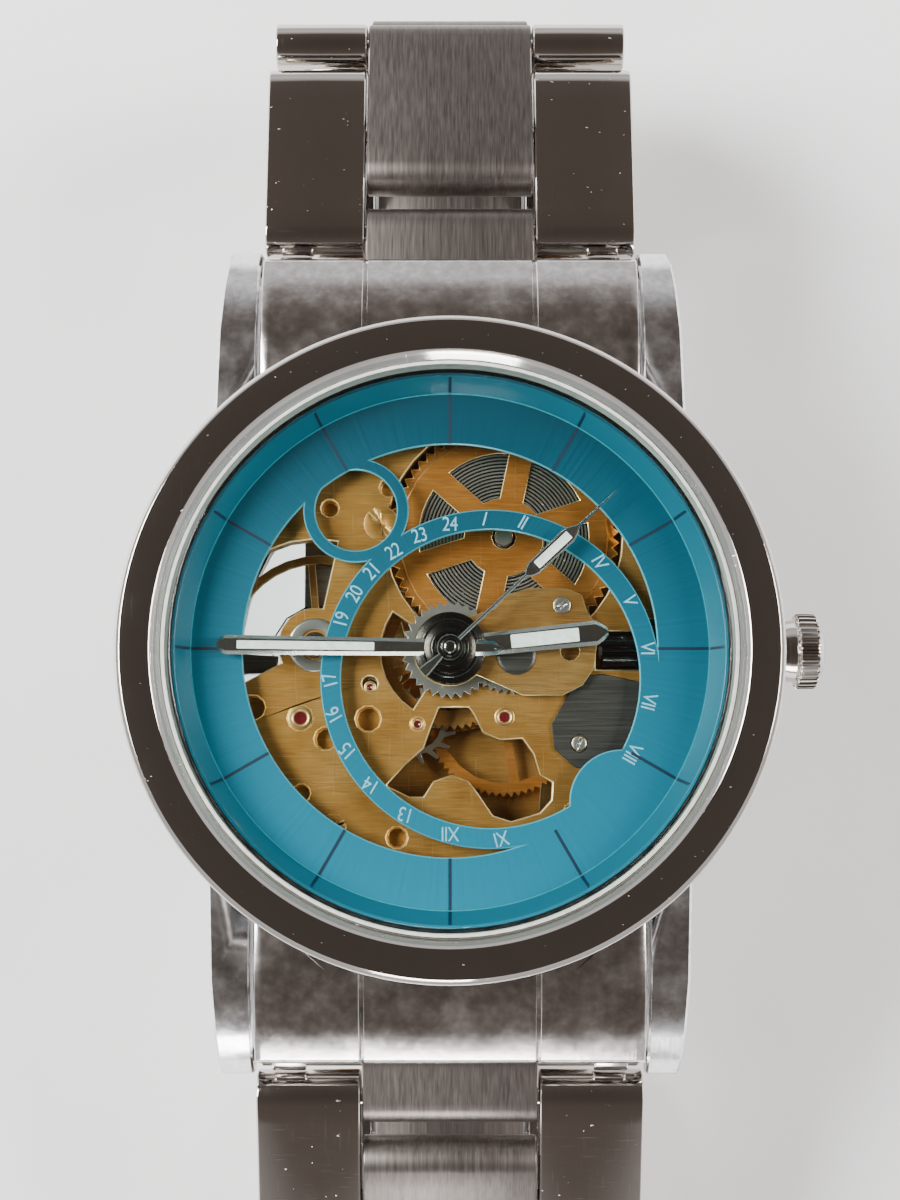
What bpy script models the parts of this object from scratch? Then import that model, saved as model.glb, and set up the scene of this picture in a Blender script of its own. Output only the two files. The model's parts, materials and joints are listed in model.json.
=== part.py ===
"""Skeleton wristwatch on a steel link bracelet: case, dial, hands, hand-wound movement, bracelet, clasp."""
import math

import bmesh
import bpy
from mathutils import Matrix, Vector

for old in list(bpy.data.objects):
    bpy.data.objects.remove(old, do_unlink=True)

# All driving sizes are in millimetres; the root empty brings the watch to metres.
MM_TO_M = 0.001
FINE = 0.0001
RING_STEPS = 48

HEAD_Z = 16.5
CASE_R = 18.1
BORE_R = 14.6
SEAT_R = 15.6
BEZEL_R = 18.5
BEZEL_TOP = 10.2
LUG_IN_X = 11.1
LUG_ROOT_X = 13.5
LUG_TIP_X = 12.95
LUG_TIP_Y = 24.0
BAR_Y = 22.9
BAR_H = 3.1

LINK_HALF_T = 1.4
FIRST_PITCH = 2.6
PITCH = 6.4
OUTER_NEAR = 1.6
OUTER_FAR = 4.3
CENTRE_NEAR = 4.0
CENTRE_FAR = 1.4
CENTRE_HALF_W = 4.95
OUTER_IN_X = 5.2
PIN_R = 0.5
PIN_BORE_R = 0.56
OUTER_HALF_W = {1: 11.0, 2: 10.7, 3: 10.4}

# Tilt below the horizontal of each bracelet link, from the case to the clasp, closed on the wrist.
TILT_12 = [8.0, 9.0, 14.0, 76.82, 121.919, 152.595, 179.292]
TILT_6 = [17.0, 20.0, 25.0, 61.498, 124.606, 166.866, 183.585]

CLASP_END_Y = 24.0
CLASP_END_Z = 2.0
HINGE_OUT_Y = -18.2
HINGE_OUT_Z = 1.6
HINGE_IN_Y = 21.7
HINGE_IN_Z = 2.4

DIAL_TOP = 7.05
DIAL_T = 0.3
DIAL_R = 15.2
DIAL_OPEN_R = 11.7
PLATE_BOTTOM = 4.6
PLATE_TOP = 5.9
PLATE_R = 13.3
STEM_H = 5.1

BARREL = (3.1, 6.6)
THIRD = (3.1, -3.8)
ESCAPE = (-1.85, -4.2)
FORK = (-4.55, -2.1)
BALANCE = (-7.7, 0.3)
MINUTE_WHEEL = (3.3, 0.1)
CROWN_WHEEL = (10.2, 2.6)

parts = bpy.data.collections.new("skeleton_wristwatch")
bpy.context.scene.collection.children.link(parts)
helpers = bpy.data.collections.new("cutters")
bpy.context.scene.collection.children.link(helpers)

root = bpy.data.objects.new("watch_root", None)
parts.objects.link(root)
root.scale = (MM_TO_M, MM_TO_M, MM_TO_M)
head = bpy.data.objects.new("watch_head", None)
parts.objects.link(head)
head.parent = root
head.location = (0.0, 0.0, HEAD_Z)


def material(name, colour, metallic, roughness):
    made = bpy.data.materials.new(name)
    made.use_nodes = True
    shader = made.node_tree.nodes["Principled BSDF"]
    shader.inputs["Base Color"].default_value = (*colour, 1.0)
    shader.inputs["Metallic"].default_value = metallic
    shader.inputs["Roughness"].default_value = roughness
    return made


STEEL = (0.62, 0.60, 0.57)
BRASS = (0.72, 0.50, 0.20)
TEAL = (0.0, 0.30, 0.42)
GLASS = (0.85, 0.93, 0.90)
DARK = (0.10, 0.10, 0.11)


def helper(name, mesh):
    made = bpy.data.objects.new(name, mesh)
    helpers.objects.link(made)
    made.hide_render = True
    made.display_type = "WIRE"
    return made


def settled(work):
    """Mesh of a helper with its modifiers and curves worked out, doubled points merged."""
    bpy.context.view_layer.update()
    graph = bpy.context.evaluated_depsgraph_get()
    mesh = bpy.data.meshes.new_from_object(work.evaluated_get(graph))
    bm = bmesh.new()
    bm.from_mesh(mesh)
    bmesh.ops.remove_doubles(bm, verts=bm.verts, dist=FINE)
    bmesh.ops.dissolve_degenerate(bm, dist=FINE, edges=bm.edges)
    bm.to_mesh(mesh)
    bm.free()
    bpy.data.objects.remove(work, do_unlink=True)
    return mesh


def circle(radius, count, x=0.0, y=0.0, turn=0.0):
    step = 2.0 * math.pi / count
    return [(x + radius * math.cos(turn + step * k), y + radius * math.sin(turn + step * k))
            for k in range(count)]


def arc(radius, start, end, count, x=0.0, y=0.0):
    made = []
    for k in range(count + 1):
        angle = math.radians(start + (end - start) * k / count)
        made.append((x + radius * math.cos(angle), y + radius * math.sin(angle)))
    return made


def prism(outlines, low, high):
    """Flat outline (holes after the first) with its faces at heights low and high."""
    curve = bpy.data.curves.new("outline", "CURVE")
    curve.dimensions = "2D"
    curve.fill_mode = "BOTH"
    curve.extrude = (high - low) / 2.0
    for outline in outlines:
        spline = curve.splines.new("POLY")
        spline.points.add(len(outline) - 1)
        for point, place in zip(spline.points, outline):
            point.co = (place[0], place[1], 0.0, 1.0)
        spline.use_cyclic_u = True
    mesh = settled(helper("outline", curve))
    mesh.transform(Matrix.Translation((0.0, 0.0, (high + low) / 2.0)))
    return mesh


def side_prism(outlines, left, right):
    """Outline drawn in Y and Z, running from left to right along X."""
    mesh = prism(outlines, left, right)
    turn = Matrix(((0, 0, 1, 0), (1, 0, 0, 0), (0, 1, 0, 0), (0, 0, 0, 1)))
    mesh.transform(turn)
    return mesh


def turned(profile, steps, x=0.0, y=0.0, closed=True):
    """Profile of (radius, height), outer side running downward, turned about a vertical axis."""
    mesh = bpy.data.meshes.new("profile")
    edges = [(k, k + 1) for k in range(len(profile) - 1)]
    if closed:
        edges.append((len(profile) - 1, 0))
    mesh.from_pydata([(r, 0.0, h) for r, h in profile], edges, [])
    work = helper("profile", mesh)
    screw = work.modifiers.new("screw", "SCREW")
    screw.axis = "Z"
    screw.angle = 2.0 * math.pi
    screw.steps = steps
    screw.render_steps = steps
    screw.use_merge_vertices = True
    screw.merge_threshold = 0.00001
    made = settled(work)
    made.transform(Matrix.Translation((x, y, 0.0)))
    return made


def along_x(mesh, y, z):
    """Stands a turned mesh on its side: its axis runs along +X through y, z."""
    mesh.transform(Matrix.Rotation(math.pi / 2.0, 4, "Y"))
    mesh.transform(Matrix.Translation((0.0, y, z)))
    return mesh


def rod(radius, low, high, steps, x=0.0, y=0.0):
    return turned([(0.0, high), (radius, high), (radius, low), (0.0, low)], steps, x, y, False)


def rod_x(radius, left, right, steps, y, z):
    return along_x(rod(radius, left, right, steps), y, z)


def block(x0, x1, y0, y1, z0, z1):
    return prism([[(x0, y0), (x1, y0), (x1, y1), (x0, y1)]], z0, z1)


def merged(base, others, operation):
    """Base mesh with the others united to it or cut from it."""
    work = helper("work", base)
    tools = []
    for other in others:
        tool = helper("tool", other)
        tools.append(tool)
        step = work.modifiers.new("step", "BOOLEAN")
        step.operation = operation
        step.solver = "EXACT"
        step.object = tool
    made = settled(work)
    for tool in tools:
        bpy.data.objects.remove(tool, do_unlink=True)
    return made


def united(base, *others):
    return merged(base, others, "UNION")


def cut(base, *others):
    return merged(base, others, "DIFFERENCE")


def put(name, mesh, look, origin=(0.0, 0.0, 0.0), parent=head, tilt=0.0):
    """Names a finished piece, with its origin on its own joint axis."""
    mesh.transform(Matrix.Translation(-Vector(origin)))
    made = bpy.data.objects.new(name, mesh)
    mesh.name = name
    parts.objects.link(made)
    made.parent = parent
    made.location = origin
    made.rotation_euler = (tilt, 0.0, 0.0)
    mesh.materials.clear()
    mesh.materials.append(material(name + "_finish", *look))
    return made


POLISHED = (STEEL, 1.0, 0.12)
BRUSHED = ((0.45, 0.43, 0.41), 1.0, 0.4)
GILT = (BRASS, 1.0, 0.35)
BLACKED = (DARK, 1.0, 0.3)
CLEAR = (GLASS, 0.0, 0.05)


# Case middle: a turned ring, four lugs, bores for the spring bars and the crown tube.
def lug(side_x, side_y):
    outline = [(13.0, 1.9), (17.0, 1.7), (22.3, 1.5), (23.6, 1.9), (LUG_TIP_Y, 2.7), (23.9, 3.7),
               (22.9, 4.9), (21.2, 6.0), (18.5, 6.8), (13.0, 7.1)]
    mesh = side_prism([outline], LUG_IN_X, LUG_ROOT_X)
    for vertex in mesh.vertices:
        if vertex.co.x > LUG_ROOT_X - 0.01:
            share = (vertex.co.y - 13.0) / (LUG_TIP_Y - 13.0)
            vertex.co.x = LUG_ROOT_X + (LUG_TIP_X - LUG_ROOT_X) * share ** 2
    mesh.transform(Matrix.Diagonal((side_x, side_y, 1.0, 1.0)))
    if side_x * side_y < 0:
        mesh.flip_normals()
    return mesh


case_ring = turned([(SEAT_R, 7.4), (17.9, 7.4), (CASE_R, 7.1), (CASE_R, 5.0), (17.7, 3.0), (16.6, 1.4),
                    (BORE_R, 1.4), (BORE_R, 6.7), (SEAT_R, 6.7)], RING_STEPS)
lugs = [lug(sx, sy) for sx in (-1, 1) for sy in (-1, 1)]
bores = [rod_x(0.45, 9.0, 12.2, 10, sy * BAR_Y, BAR_H) for sy in (-1, 1)]
bores += [rod_x(0.45, -12.2, -9.0, 10, sy * BAR_Y, BAR_H) for sy in (-1, 1)]
case_mesh = united(case_ring, *lugs)
case_mesh = cut(case_mesh, rod_x(1.08, 13.0, 19.5, 14, 0.0, STEM_H), *bores)
put("case_middle", case_mesh, POLISHED)

put("bezel", turned([(16.5, BEZEL_TOP), (18.25, BEZEL_TOP), (BEZEL_R, 10.0), (BEZEL_R, 8.0), (18.2, 7.5),
                     (15.75, 7.5), (15.75, 8.42), (16.0, 8.42), (16.0, 9.85)], RING_STEPS), POLISHED)
put("crystal", turned([(0.0, 10.42), (14.9, 10.42), (15.6, 10.2), (15.93, 9.9), (15.93, 8.52), (0.0, 8.52)],
                      RING_STEPS, closed=False), CLEAR)
put("rehaut_ring", turned([(15.38, 8.42), (15.54, 8.42), (15.54, 7.12), (14.65, 7.12)], RING_STEPS),
    (TEAL, 0.6, 0.3))
put("movement_holder", cut(turned([(13.6, 6.4), (14.5, 6.4), (14.5, 2.2), (13.6, 2.2)], 36),
                           rod_x(0.62, 12.0, 16.0, 12, 0.0, STEM_H), rod(6.95, 4.2, 5.6, 36, *BARREL)), ((0.75, 0.75, 0.73), 0.3, 0.5))
put("case_back", turned([(12.9, 1.3), (16.2, 1.3), (16.2, 0.4), (15.8, 0.0), (12.4, 0.0), (12.4, 0.5),
                         (12.9, 0.5)], RING_STEPS), POLISHED)
put("case_back_glass", turned([(0.0, 1.2), (12.82, 1.2), (12.82, 0.55), (0.0, 0.55)], RING_STEPS, closed=False), CLEAR)

# Dial: flat ring, an off-centre ring for the second time scale, a small ring and a pad.
dial_low = DIAL_TOP - DIAL_T
dial_mesh = prism([circle(DIAL_R, RING_STEPS), circle(DIAL_OPEN_R, RING_STEPS)], dial_low, DIAL_TOP)
scale_ring = prism([circle(9.58, 44, 2.27, -1.64), circle(8.42, 40, 2.27, -1.64)],
                   dial_low + 0.01, DIAL_TOP - 0.01)
small_ring = prism([circle(3.0, 22, -5.35, 7.9), circle(2.32, 20, -5.35, 7.9)],
                   dial_low + 0.02, DIAL_TOP - 0.02)
pad = merged(rod(2.94, dial_low + 0.03, DIAL_TOP - 0.03, 22, 9.62, -8.62),
             [rod(DIAL_R - 0.4, 6.0, 8.0, RING_STEPS)], "INTERSECT")
put("dial", united(dial_mesh, scale_ring, small_ring, pad), (TEAL, 0.6, 0.3))


# Hands: flat polished blades with a slot for the luminous fill, on a hub ring.
def blade(name, low, high, hub_r, bore_r, outline, slot, clock_angle):
    hub = turned([(0.0, high + 0.08), (hub_r * 0.7, high + 0.08), (hub_r, high), (hub_r, low), (0.0, low)],
                 24, closed=False)
    flat = prism([outline, slot], low + 0.013, high - 0.017)
    mesh = cut(united(hub, flat), rod(bore_r, low - 1.0, high + 1.0, 16))
    mesh.transform(Matrix.Rotation(-math.radians(clock_angle), 4, "Z"))
    put(name, mesh, POLISHED)


blade("hour_hand", 7.3, 7.5, 2.05, 1.16, [(-0.62, 1.0), (0.62, 1.0), (0.7, 7.9), (0.22, 8.95),
                                          (-0.22, 8.95), (-0.7, 7.9)],
      [(-0.4, 3.4), (-0.4, 7.25), (0.4, 7.25), (0.4, 3.4)], 84.0)
blade("minute_hand", 7.66, 7.84, 1.5, 0.81, [(-0.48, -2.3), (0.0, -3.0), (0.48, -2.3), (0.56, 11.9),
                                             (0.16, 13.1), (-0.16, 13.1), (-0.56, 11.9)],
      [(-0.36, 4.2), (-0.36, 11.6), (0.36, 11.6), (0.36, 4.2)], 270.8)
second_outline = [(-0.3, -2.1), (0.3, -2.1), (0.12, -0.4), (0.1, 5.9), (0.42, 6.4), (0.45, 9.6), (0.1, 10.1),
                  (0.04, 13.0), (-0.04, 13.0), (-0.1, 10.1), (-0.45, 9.6), (-0.42, 6.4), (-0.1, 5.9),
                  (-0.12, -0.4)]
blade("second_hand", 8.02, 8.14, 0.68, 0.16, second_outline,
      [(-0.24, 6.6), (-0.24, 9.4), (0.24, 9.4), (0.24, 6.6)], 46.6)


# Toothed wheels. A tooth is a tapered block; phase turns a tooth to face the mating centre.
def teeth(count, module, phase, root=0.82, tip=0.3, rise=0.8, drop=1.05, fine=False):
    pitch_r = module * count / 2.0
    corners = ((-root, pitch_r - drop * module), (-tip, pitch_r + rise * module),
               (tip, pitch_r + rise * module), (root, pitch_r - drop * module))
    if fine:
        corners = ((-math.pi / 2.0, pitch_r - module), (0.0, pitch_r + module))
    points = []
    for k in range(count):
        middle = phase + 2.0 * math.pi * k / count
        for offset, radius in corners:
            angle = middle + offset * module / radius
            points.append((radius * math.cos(angle), radius * math.sin(angle)))
    return points


def moved(points, x, y):
    return [(px + x, py + y) for px, py in points]


def facing(here, there):
    return math.atan2(there[1] - here[1], there[0] - here[0])


def windows(count, inner, outer, web, x, y, turn=0.0):
    """Openings between the spokes of a wheel."""
    made = []
    for k in range(count):
        start = turn + 360.0 * k / count
        end = turn + 360.0 * (k + 1) / count
        gap_out = math.degrees(web / outer)
        gap_in = math.degrees(web / inner)
        outline = arc(outer, start + gap_out, end - gap_out, 5, x, y)
        outline += arc(inner, end - gap_in, start + gap_in, 2, x, y)
        made.append(outline)
    return made


CENTRE = (0.0, 0.0)
BARREL_TEETH = 64
CENTRE_LEAVES = 8
CENTRE_TEETH = 60
THIRD_LEAVES = 8
THIRD_TEETH = 64
FOURTH_LEAVES = 8
FOURTH_TEETH = 60
ESCAPE_LEAVES = 6


def module_for(here, there, first, second):
    return 2.0 * math.dist(here, there) / (first + second)


def half_pitch(count):
    return math.pi / count


barrel_m = module_for(BARREL, CENTRE, BARREL_TEETH, CENTRE_LEAVES)
centre_m = module_for(CENTRE, THIRD, CENTRE_TEETH, THIRD_LEAVES)
third_m = module_for(THIRD, CENTRE, THIRD_TEETH, FOURTH_LEAVES)
fourth_m = module_for(CENTRE, ESCAPE, FOURTH_TEETH, ESCAPE_LEAVES)

# Barrel: drum with a six-window cover on the dial side and a toothed rim.
bx, by = BARREL
drum = prism([circle(6.05, 32, bx, by), circle(5.85, 28, bx, by)], 4.5, 5.0)
rim = prism([moved(teeth(BARREL_TEETH, barrel_m, facing(BARREL, CENTRE), fine=True), bx, by), circle(5.8, 28, bx, by)],
            4.9, 5.24)
cover = prism([circle(6.0, 32, bx, by), circle(0.7, 10, bx, by)] + windows(6, 2.3, 4.9, 0.7, bx, by, 18.0),
              5.22, 5.36)
put("barrel", united(drum, rim, cover), GILT, (bx, by, 0.0))
put("barrel_arbor", turned([(0.0, 5.6), (0.55, 5.6), (0.55, 5.0), (0.62, 5.0), (0.62, 4.42), (0.4, 4.42),
                            (0.4, 1.9), (0.0, 1.9)], 12, bx, by, False), POLISHED, (bx, by, 0.0))

# Mainspring: one flat coil lying in the drum.
coil = []
COIL_TURNS = 6
COIL_POINTS = 72
for k in range(COIL_POINTS + 1):
    share = k / COIL_POINTS
    angle = 2.0 * math.pi * COIL_TURNS * share
    radius = 1.3 + 4.3 * share
    coil.append((radius, angle))
band = [(bx + (r + 0.11) * math.cos(a), by + (r + 0.11) * math.sin(a)) for r, a in coil]
band += [(bx + (r - 0.11) * math.cos(a), by + (r - 0.11) * math.sin(a)) for r, a in reversed(coil)]
put("mainspring", prism([band], 4.72, 5.18), BLACKED, (bx, by, 0.0))

# Centre wheel with its pinion and the tube that carries the cannon.
centre_plate = prism([teeth(CENTRE_TEETH, centre_m, facing(CENTRE, THIRD), fine=True), circle(0.21, 12)]
                     + windows(4, 1.2, 3.35, 0.28, 0.0, 0.0, 20.0), 4.12, 4.34)
centre_pinion = prism([teeth(CENTRE_LEAVES, barrel_m, facing(CENTRE, BARREL) + half_pitch(CENTRE_LEAVES)),
                       circle(0.2, 12)], 4.3, 5.45)
centre_tube = turned([(0.19, 7.2), (0.42, 7.2), (0.42, 4.31), (0.19, 4.31)], 12)
put("center_wheel", united(centre_plate, centre_pinion, centre_tube), GILT)

# Third wheel.
tx, ty = THIRD
third_plate = prism([moved(teeth(THIRD_TEETH, third_m, facing(THIRD, CENTRE), fine=True), tx, ty)]
                    + windows(4, 0.9, 3.7, 0.25, tx, ty, 10.0), 3.5, 3.7)
third_pinion = prism([moved(teeth(THIRD_LEAVES, centre_m, facing(THIRD, CENTRE) + half_pitch(THIRD_LEAVES)),
                            tx, ty)], 3.65, 4.4)
third_arbor = rod(0.2, 2.7, 5.2, 8, tx, ty)
put("third_wheel", united(third_plate, third_pinion, third_arbor), GILT, (tx, ty, 0.0))

# Fourth wheel: its long arbor carries the second hand.
fourth_plate = prism([teeth(FOURTH_TEETH, fourth_m, facing(CENTRE, ESCAPE), fine=True)]
                     + windows(4, 0.8, 3.5, 0.22, 0.0, 0.0, 35.0), 3.0, 3.18)
fourth_pinion = prism([teeth(FOURTH_LEAVES, third_m, facing(CENTRE, THIRD) + half_pitch(FOURTH_LEAVES))],
                      3.14, 3.95)
fourth_arbor = rod(0.13, 2.3, 8.1, 8)
put("fourth_wheel", united(fourth_plate, fourth_pinion, fourth_arbor), GILT)

# Escape wheel with fifteen hooked teeth.
ex, ey = ESCAPE
ESCAPE_R = 2.2
hooked = []
for k in range(15):
    base = 2.0 * math.pi * k / 15
    for offset, radius in ((0.0, 1.62), (0.2, ESCAPE_R), (0.28, ESCAPE_R), (0.2, 1.62)):
        hooked.append((ex + radius * math.cos(base + offset), ey + radius * math.sin(base + offset)))
escape_plate = prism([hooked] + windows(3, 0.55, 1.3, 0.12, ex, ey), 3.86, 3.98)
escape_pinion = prism([moved(teeth(ESCAPE_LEAVES, fourth_m, facing(ESCAPE, CENTRE)
                                   + half_pitch(ESCAPE_LEAVES)), ex, ey)], 2.85, 3.4)
escape_arbor = rod(0.12, 2.7, 4.9, 12, ex, ey)
put("escape_wheel", united(escape_plate, escape_pinion, escape_arbor), POLISHED, (ex, ey, 0.0))

# Pallet fork: two arms toward the escape wheel, a lever toward the balance.
fx, fy = FORK
to_balance = facing(FORK, BALANCE)
to_escape = facing(FORK, ESCAPE)
lever = [(-0.9, -1.25), (-0.55, -1.3), (-0.25, -0.45), (2.35, -0.16), (2.75, -0.4), (2.85, -0.3), (2.6, 0.0),
         (2.85, 0.3), (2.75, 0.4), (2.35, 0.16), (-0.25, 0.45), (-0.55, 1.3), (-0.9, 1.25), (-0.7, 0.0)]
lever_points = [(fx + px * math.cos(to_balance) - py * math.sin(to_balance),
                 fy + px * math.sin(to_balance) + py * math.cos(to_balance)) for px, py in lever]
put("pallet_fork", united(prism([lever_points], 3.55, 3.68), rod(0.12, 2.95, 4.9, 8, fx, fy)), POLISHED,
    (fx, fy, 0.0))

# Balance wheel with a staff and roller, and its hairspring.
ox, oy = BALANCE
balance_rim = turned([(5.1, 2.7), (5.6, 2.7), (5.6, 2.3), (5.1, 2.3)], 36, ox, oy)
spokes = []
for k in range(3):
    angle = 2.0 * math.pi * k / 3 + 1.66
    bar = block(0.3, 5.3, -0.22, 0.22, 2.42, 2.6)
    bar.transform(Matrix.Translation((ox, oy, 0.0)) @ Matrix.Rotation(angle, 4, "Z"))
    spokes.append(bar)
staff = turned([(0.0, 5.2), (0.14, 5.2), (0.14, 3.5), (0.7, 3.5), (0.7, 3.3), (0.3, 3.3), (0.3, 2.9),
                (0.55, 2.9), (0.55, 2.3), (0.14, 2.3), (0.14, 1.9), (0.0, 1.9)], 10, ox, oy, False)
put("balance_wheel", united(balance_rim, *spokes, staff), GILT, (ox, oy, 0.0))
hair = []
HAIR_POINTS = 64
for k in range(HAIR_POINTS + 1):
    share = k / HAIR_POINTS
    hair.append((0.8 + 2.2 * share, 2.0 * math.pi * 5 * share))
band = [(ox + (r + 0.04) * math.cos(a), oy + (r + 0.04) * math.sin(a)) for r, a in hair]
band += [(ox + (r - 0.04) * math.cos(a), oy + (r - 0.04) * math.sin(a)) for r, a in reversed(hair)]
put("hairspring", prism([band], 2.08, 2.2), ((0.25, 0.3, 0.45), 1.0, 0.3), (ox, oy, 0.0))

# Main plate, brass, cut away over the barrel, the train and the balance.
balance_gap = []
for k in range(11):
    angle = math.radians(78.0 + 130.0 * k / 10)
    reach = 6.1
    while math.hypot(ox + reach * math.cos(angle), oy + reach * math.sin(angle)) > 12.3:
        reach -= 0.05
    balance_gap.append((ox + reach * math.cos(angle), oy + reach * math.sin(angle)))
balance_gap += arc(2.15, 208.0, 78.0, 7, ox, oy)
train_gap = [(-0.79, -3.65), (-0.63, -3.25), (1.06, -3.25), (1.35, -3.65), (1.87, -4.7), (2.83, -5.1),
             (4.12, -5.02), (4.73, -5.9), (5.08, -7.1), (5.8, -7.5), (5.73, -8.48), (5.08, -9.2),
             (3.47, -9.68), (2.43, -9.36), (1.62, -8.16), (1.06, -7.43), (0.1, -7.06), (-0.95, -7.43),
             (-1.5, -8.3), (-2.3, -8.3), (-3.6, -7.67), (-2.5, -6.47), (-1.5, -5.58), (-1.16, -4.6)]
stem_gap = [(8.3, -1.1), (11.0, -1.1), (11.0, -1.8), (12.3, -1.8), (12.3, -0.65), (14.0, -0.65), (14.0, 0.65),
            (12.3, 0.65), (12.3, 1.8), (11.0, 1.8), (11.0, 1.1), (8.3, 1.1)]
wheel_slot = arc(3.95, 146.0, 238.0, 8) + arc(2.3, 238.0, 146.0, 6)
PLATE_HOLES = [(-4.57, -1.9, 0.45), (-4.65, -3.9, 0.72), (-1.85, -4.2, 0.4), (3.1, -3.8, 0.42),
               (-7.06, -5.02, 0.65), (-8.5, -3.85, 0.72), (-11.2, -3.25, 0.7), (-8.4, -8.1, 0.5),
               (-3.5, 9.4, 0.55), (-6.9, 8.2, 0.5), (-4.2, 7.2, 0.75), (-3.0, -10.6, 0.6), (7.0, -9.2, 0.6)]
plate_mesh = rod(PLATE_R, PLATE_BOTTOM, PLATE_TOP, 48)
plate_cuts = [prism([balance_gap], 4.0, 6.5), prism([train_gap], 4.0, 6.5), prism([stem_gap], 4.0, 6.5),
              prism([wheel_slot], 4.0, 6.5), rod(6.78, 4.0, 6.5, 36, bx, by), rod(1.15, 4.0, 6.5, 14),
              rod(0.3, 4.0, 6.5, 8, ox, oy)]
plate_cuts += [rod(r, 4.0 if px in (-4.57, -1.85, 3.1) else 5.0, 6.5, 10, px, py) for px, py, r in PLATE_HOLES]
put("main_plate", cut(plate_mesh, *plate_cuts), GILT)

# Back bridges, ratchet and crown wheel.
barrel_bridge = cut(prism([arc(13.2, -18.0, 126.0, 16) + [(-5.4, 5.5), (-3.4, 1.6), (1.2, 1.6), (4.2, 0.6)]], 2.75, 3.35),
                    rod(0.46, 2.0, 4.0, 12, bx, by), rod(0.36, 2.0, 4.0, 10, *CROWN_WHEEL),
                    rod(5.8, 2.0, 4.0, 30, ox, oy), rod(4.7, 2.0, 4.0, 30))
put("barrel_bridge", barrel_bridge, GILT)
train_bridge = cut(prism([[(-2.6, -1.4), (3.9, -1.4), (5.6, -4.6), (4.9, -12.1), (-6.0, -11.7),
                           (-7.2, -6.0), (-5.3, -5.4)]], 2.35, 2.75),
                   rod(0.26, 2.0, 4.0, 16, tx, ty), rod(0.18, 2.0, 4.0, 12, ex, ey),
                   rod(5.8, 2.0, 4.0, 30, ox, oy))
put("train_bridge", train_bridge, GILT)
cock = cut(prism([[(-8.7, -0.9), (-6.5, -0.9), (-6.0, 0.6), (-6.4, 4.0), (-5.6, 9.6), (-7.9, 10.3),
                   (-8.6, 7.0), (-8.6, 3.0)]], 1.55, 1.95), rod(0.2, 1.0, 2.5, 16, ox, oy))
put("balance_cock", cock, GILT)
ratchet_m = module_for(BARREL, CROWN_WHEEL, 56, 26)
put("ratchet_wheel", cut(prism([moved(teeth(56, ratchet_m, facing(BARREL, CROWN_WHEEL), fine=True), bx, by)], 2.3, 2.6),
                         rod(0.44, 2.0, 3.0, 12, bx, by)), POLISHED, (bx, by, 0.0))
crown_wheel_mesh = united(prism([moved(teeth(26, ratchet_m, facing(CROWN_WHEEL, BARREL) + half_pitch(26), fine=True),
                                       *CROWN_WHEEL)], 2.3, 2.62), rod(0.3, 2.5, 3.3, 10, *CROWN_WHEEL))
put("crown_wheel", crown_wheel_mesh, POLISHED, (CROWN_WHEEL[0], CROWN_WHEEL[1], 0.0))

# Motion work under the dial: cannon, minute wheel, hour wheel, cover plate.
cannon_m = module_for(CENTRE, MINUTE_WHEEL, 12, 36)
hour_m = module_for(CENTRE, MINUTE_WHEEL, 32, 8)
mx, my = MINUTE_WHEEL
cannon = united(turned([(0.47, 7.95), (0.74, 7.95), (0.74, 5.97), (0.47, 5.97)], 14),
                prism([teeth(12, cannon_m, facing(CENTRE, MINUTE_WHEEL)), circle(0.6, 14)], 5.99, 6.15))
put("cannon_pinion", cannon, POLISHED)
minute_wheel = united(prism([moved(teeth(36, cannon_m, facing(MINUTE_WHEEL, CENTRE) + half_pitch(36), fine=True),
                                   mx, my)], 5.98, 6.12),
                      prism([moved(teeth(8, hour_m, facing(MINUTE_WHEEL, CENTRE) + half_pitch(8)), mx, my)],
                            6.1, 6.42))
put("minute_wheel", minute_wheel, POLISHED, (mx, my, 0.0))
hour_wheel = united(prism([teeth(32, hour_m, facing(CENTRE, MINUTE_WHEEL), fine=True), circle(0.95, 16)], 6.22, 6.42),
                    turned([(0.8, 7.52), (1.1, 7.52), (1.1, 6.24), (0.8, 6.24)], 16))
put("hour_wheel", hour_wheel, POLISHED)
cover_outline = [(2.83, -2.04), (4.12, -2.61), (6.37, -2.61), (7.5, -2.04), (8.14, -1.08), (8.3, 0.05),
                 (8.3, 1.34), (7.74, 2.3), (7.5, 3.1), (6.69, 3.46), (4.44, 3.51), (3.23, 3.1), (2.51, 2.3)]
cover_outline += arc(2.1, 62.0, 316.0, 14)
put("motion_cover", prism([cover_outline, circle(1.35, 20), circle(0.55, 12, 6.8, -0.1)], 6.47, 6.6), GILT)
setting = [(7.3, -1.5), (8.7, -1.35), (11.2, -1.9), (11.4, -3.6), (10.2, -5.9), (8.2, -6.9), (7.0, -6.6),
           (5.9, -5.6), (5.75, -4.2), (6.5, -2.9)]
put("setting_cover", prism([setting, circle(0.5, 12, 7.3, -5.3)], 5.93, 6.1), BRUSHED)

# Keyless work on the stem.
stem_slot = 0.55


def toothed_sleeve(count, module, left, right):
    sleeve = prism([teeth(count, module, 0.0, root=0.9, tip=0.5), circle(stem_slot, 12)], left, right)
    return along_x(sleeve, 0.0, STEM_H)


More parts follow.
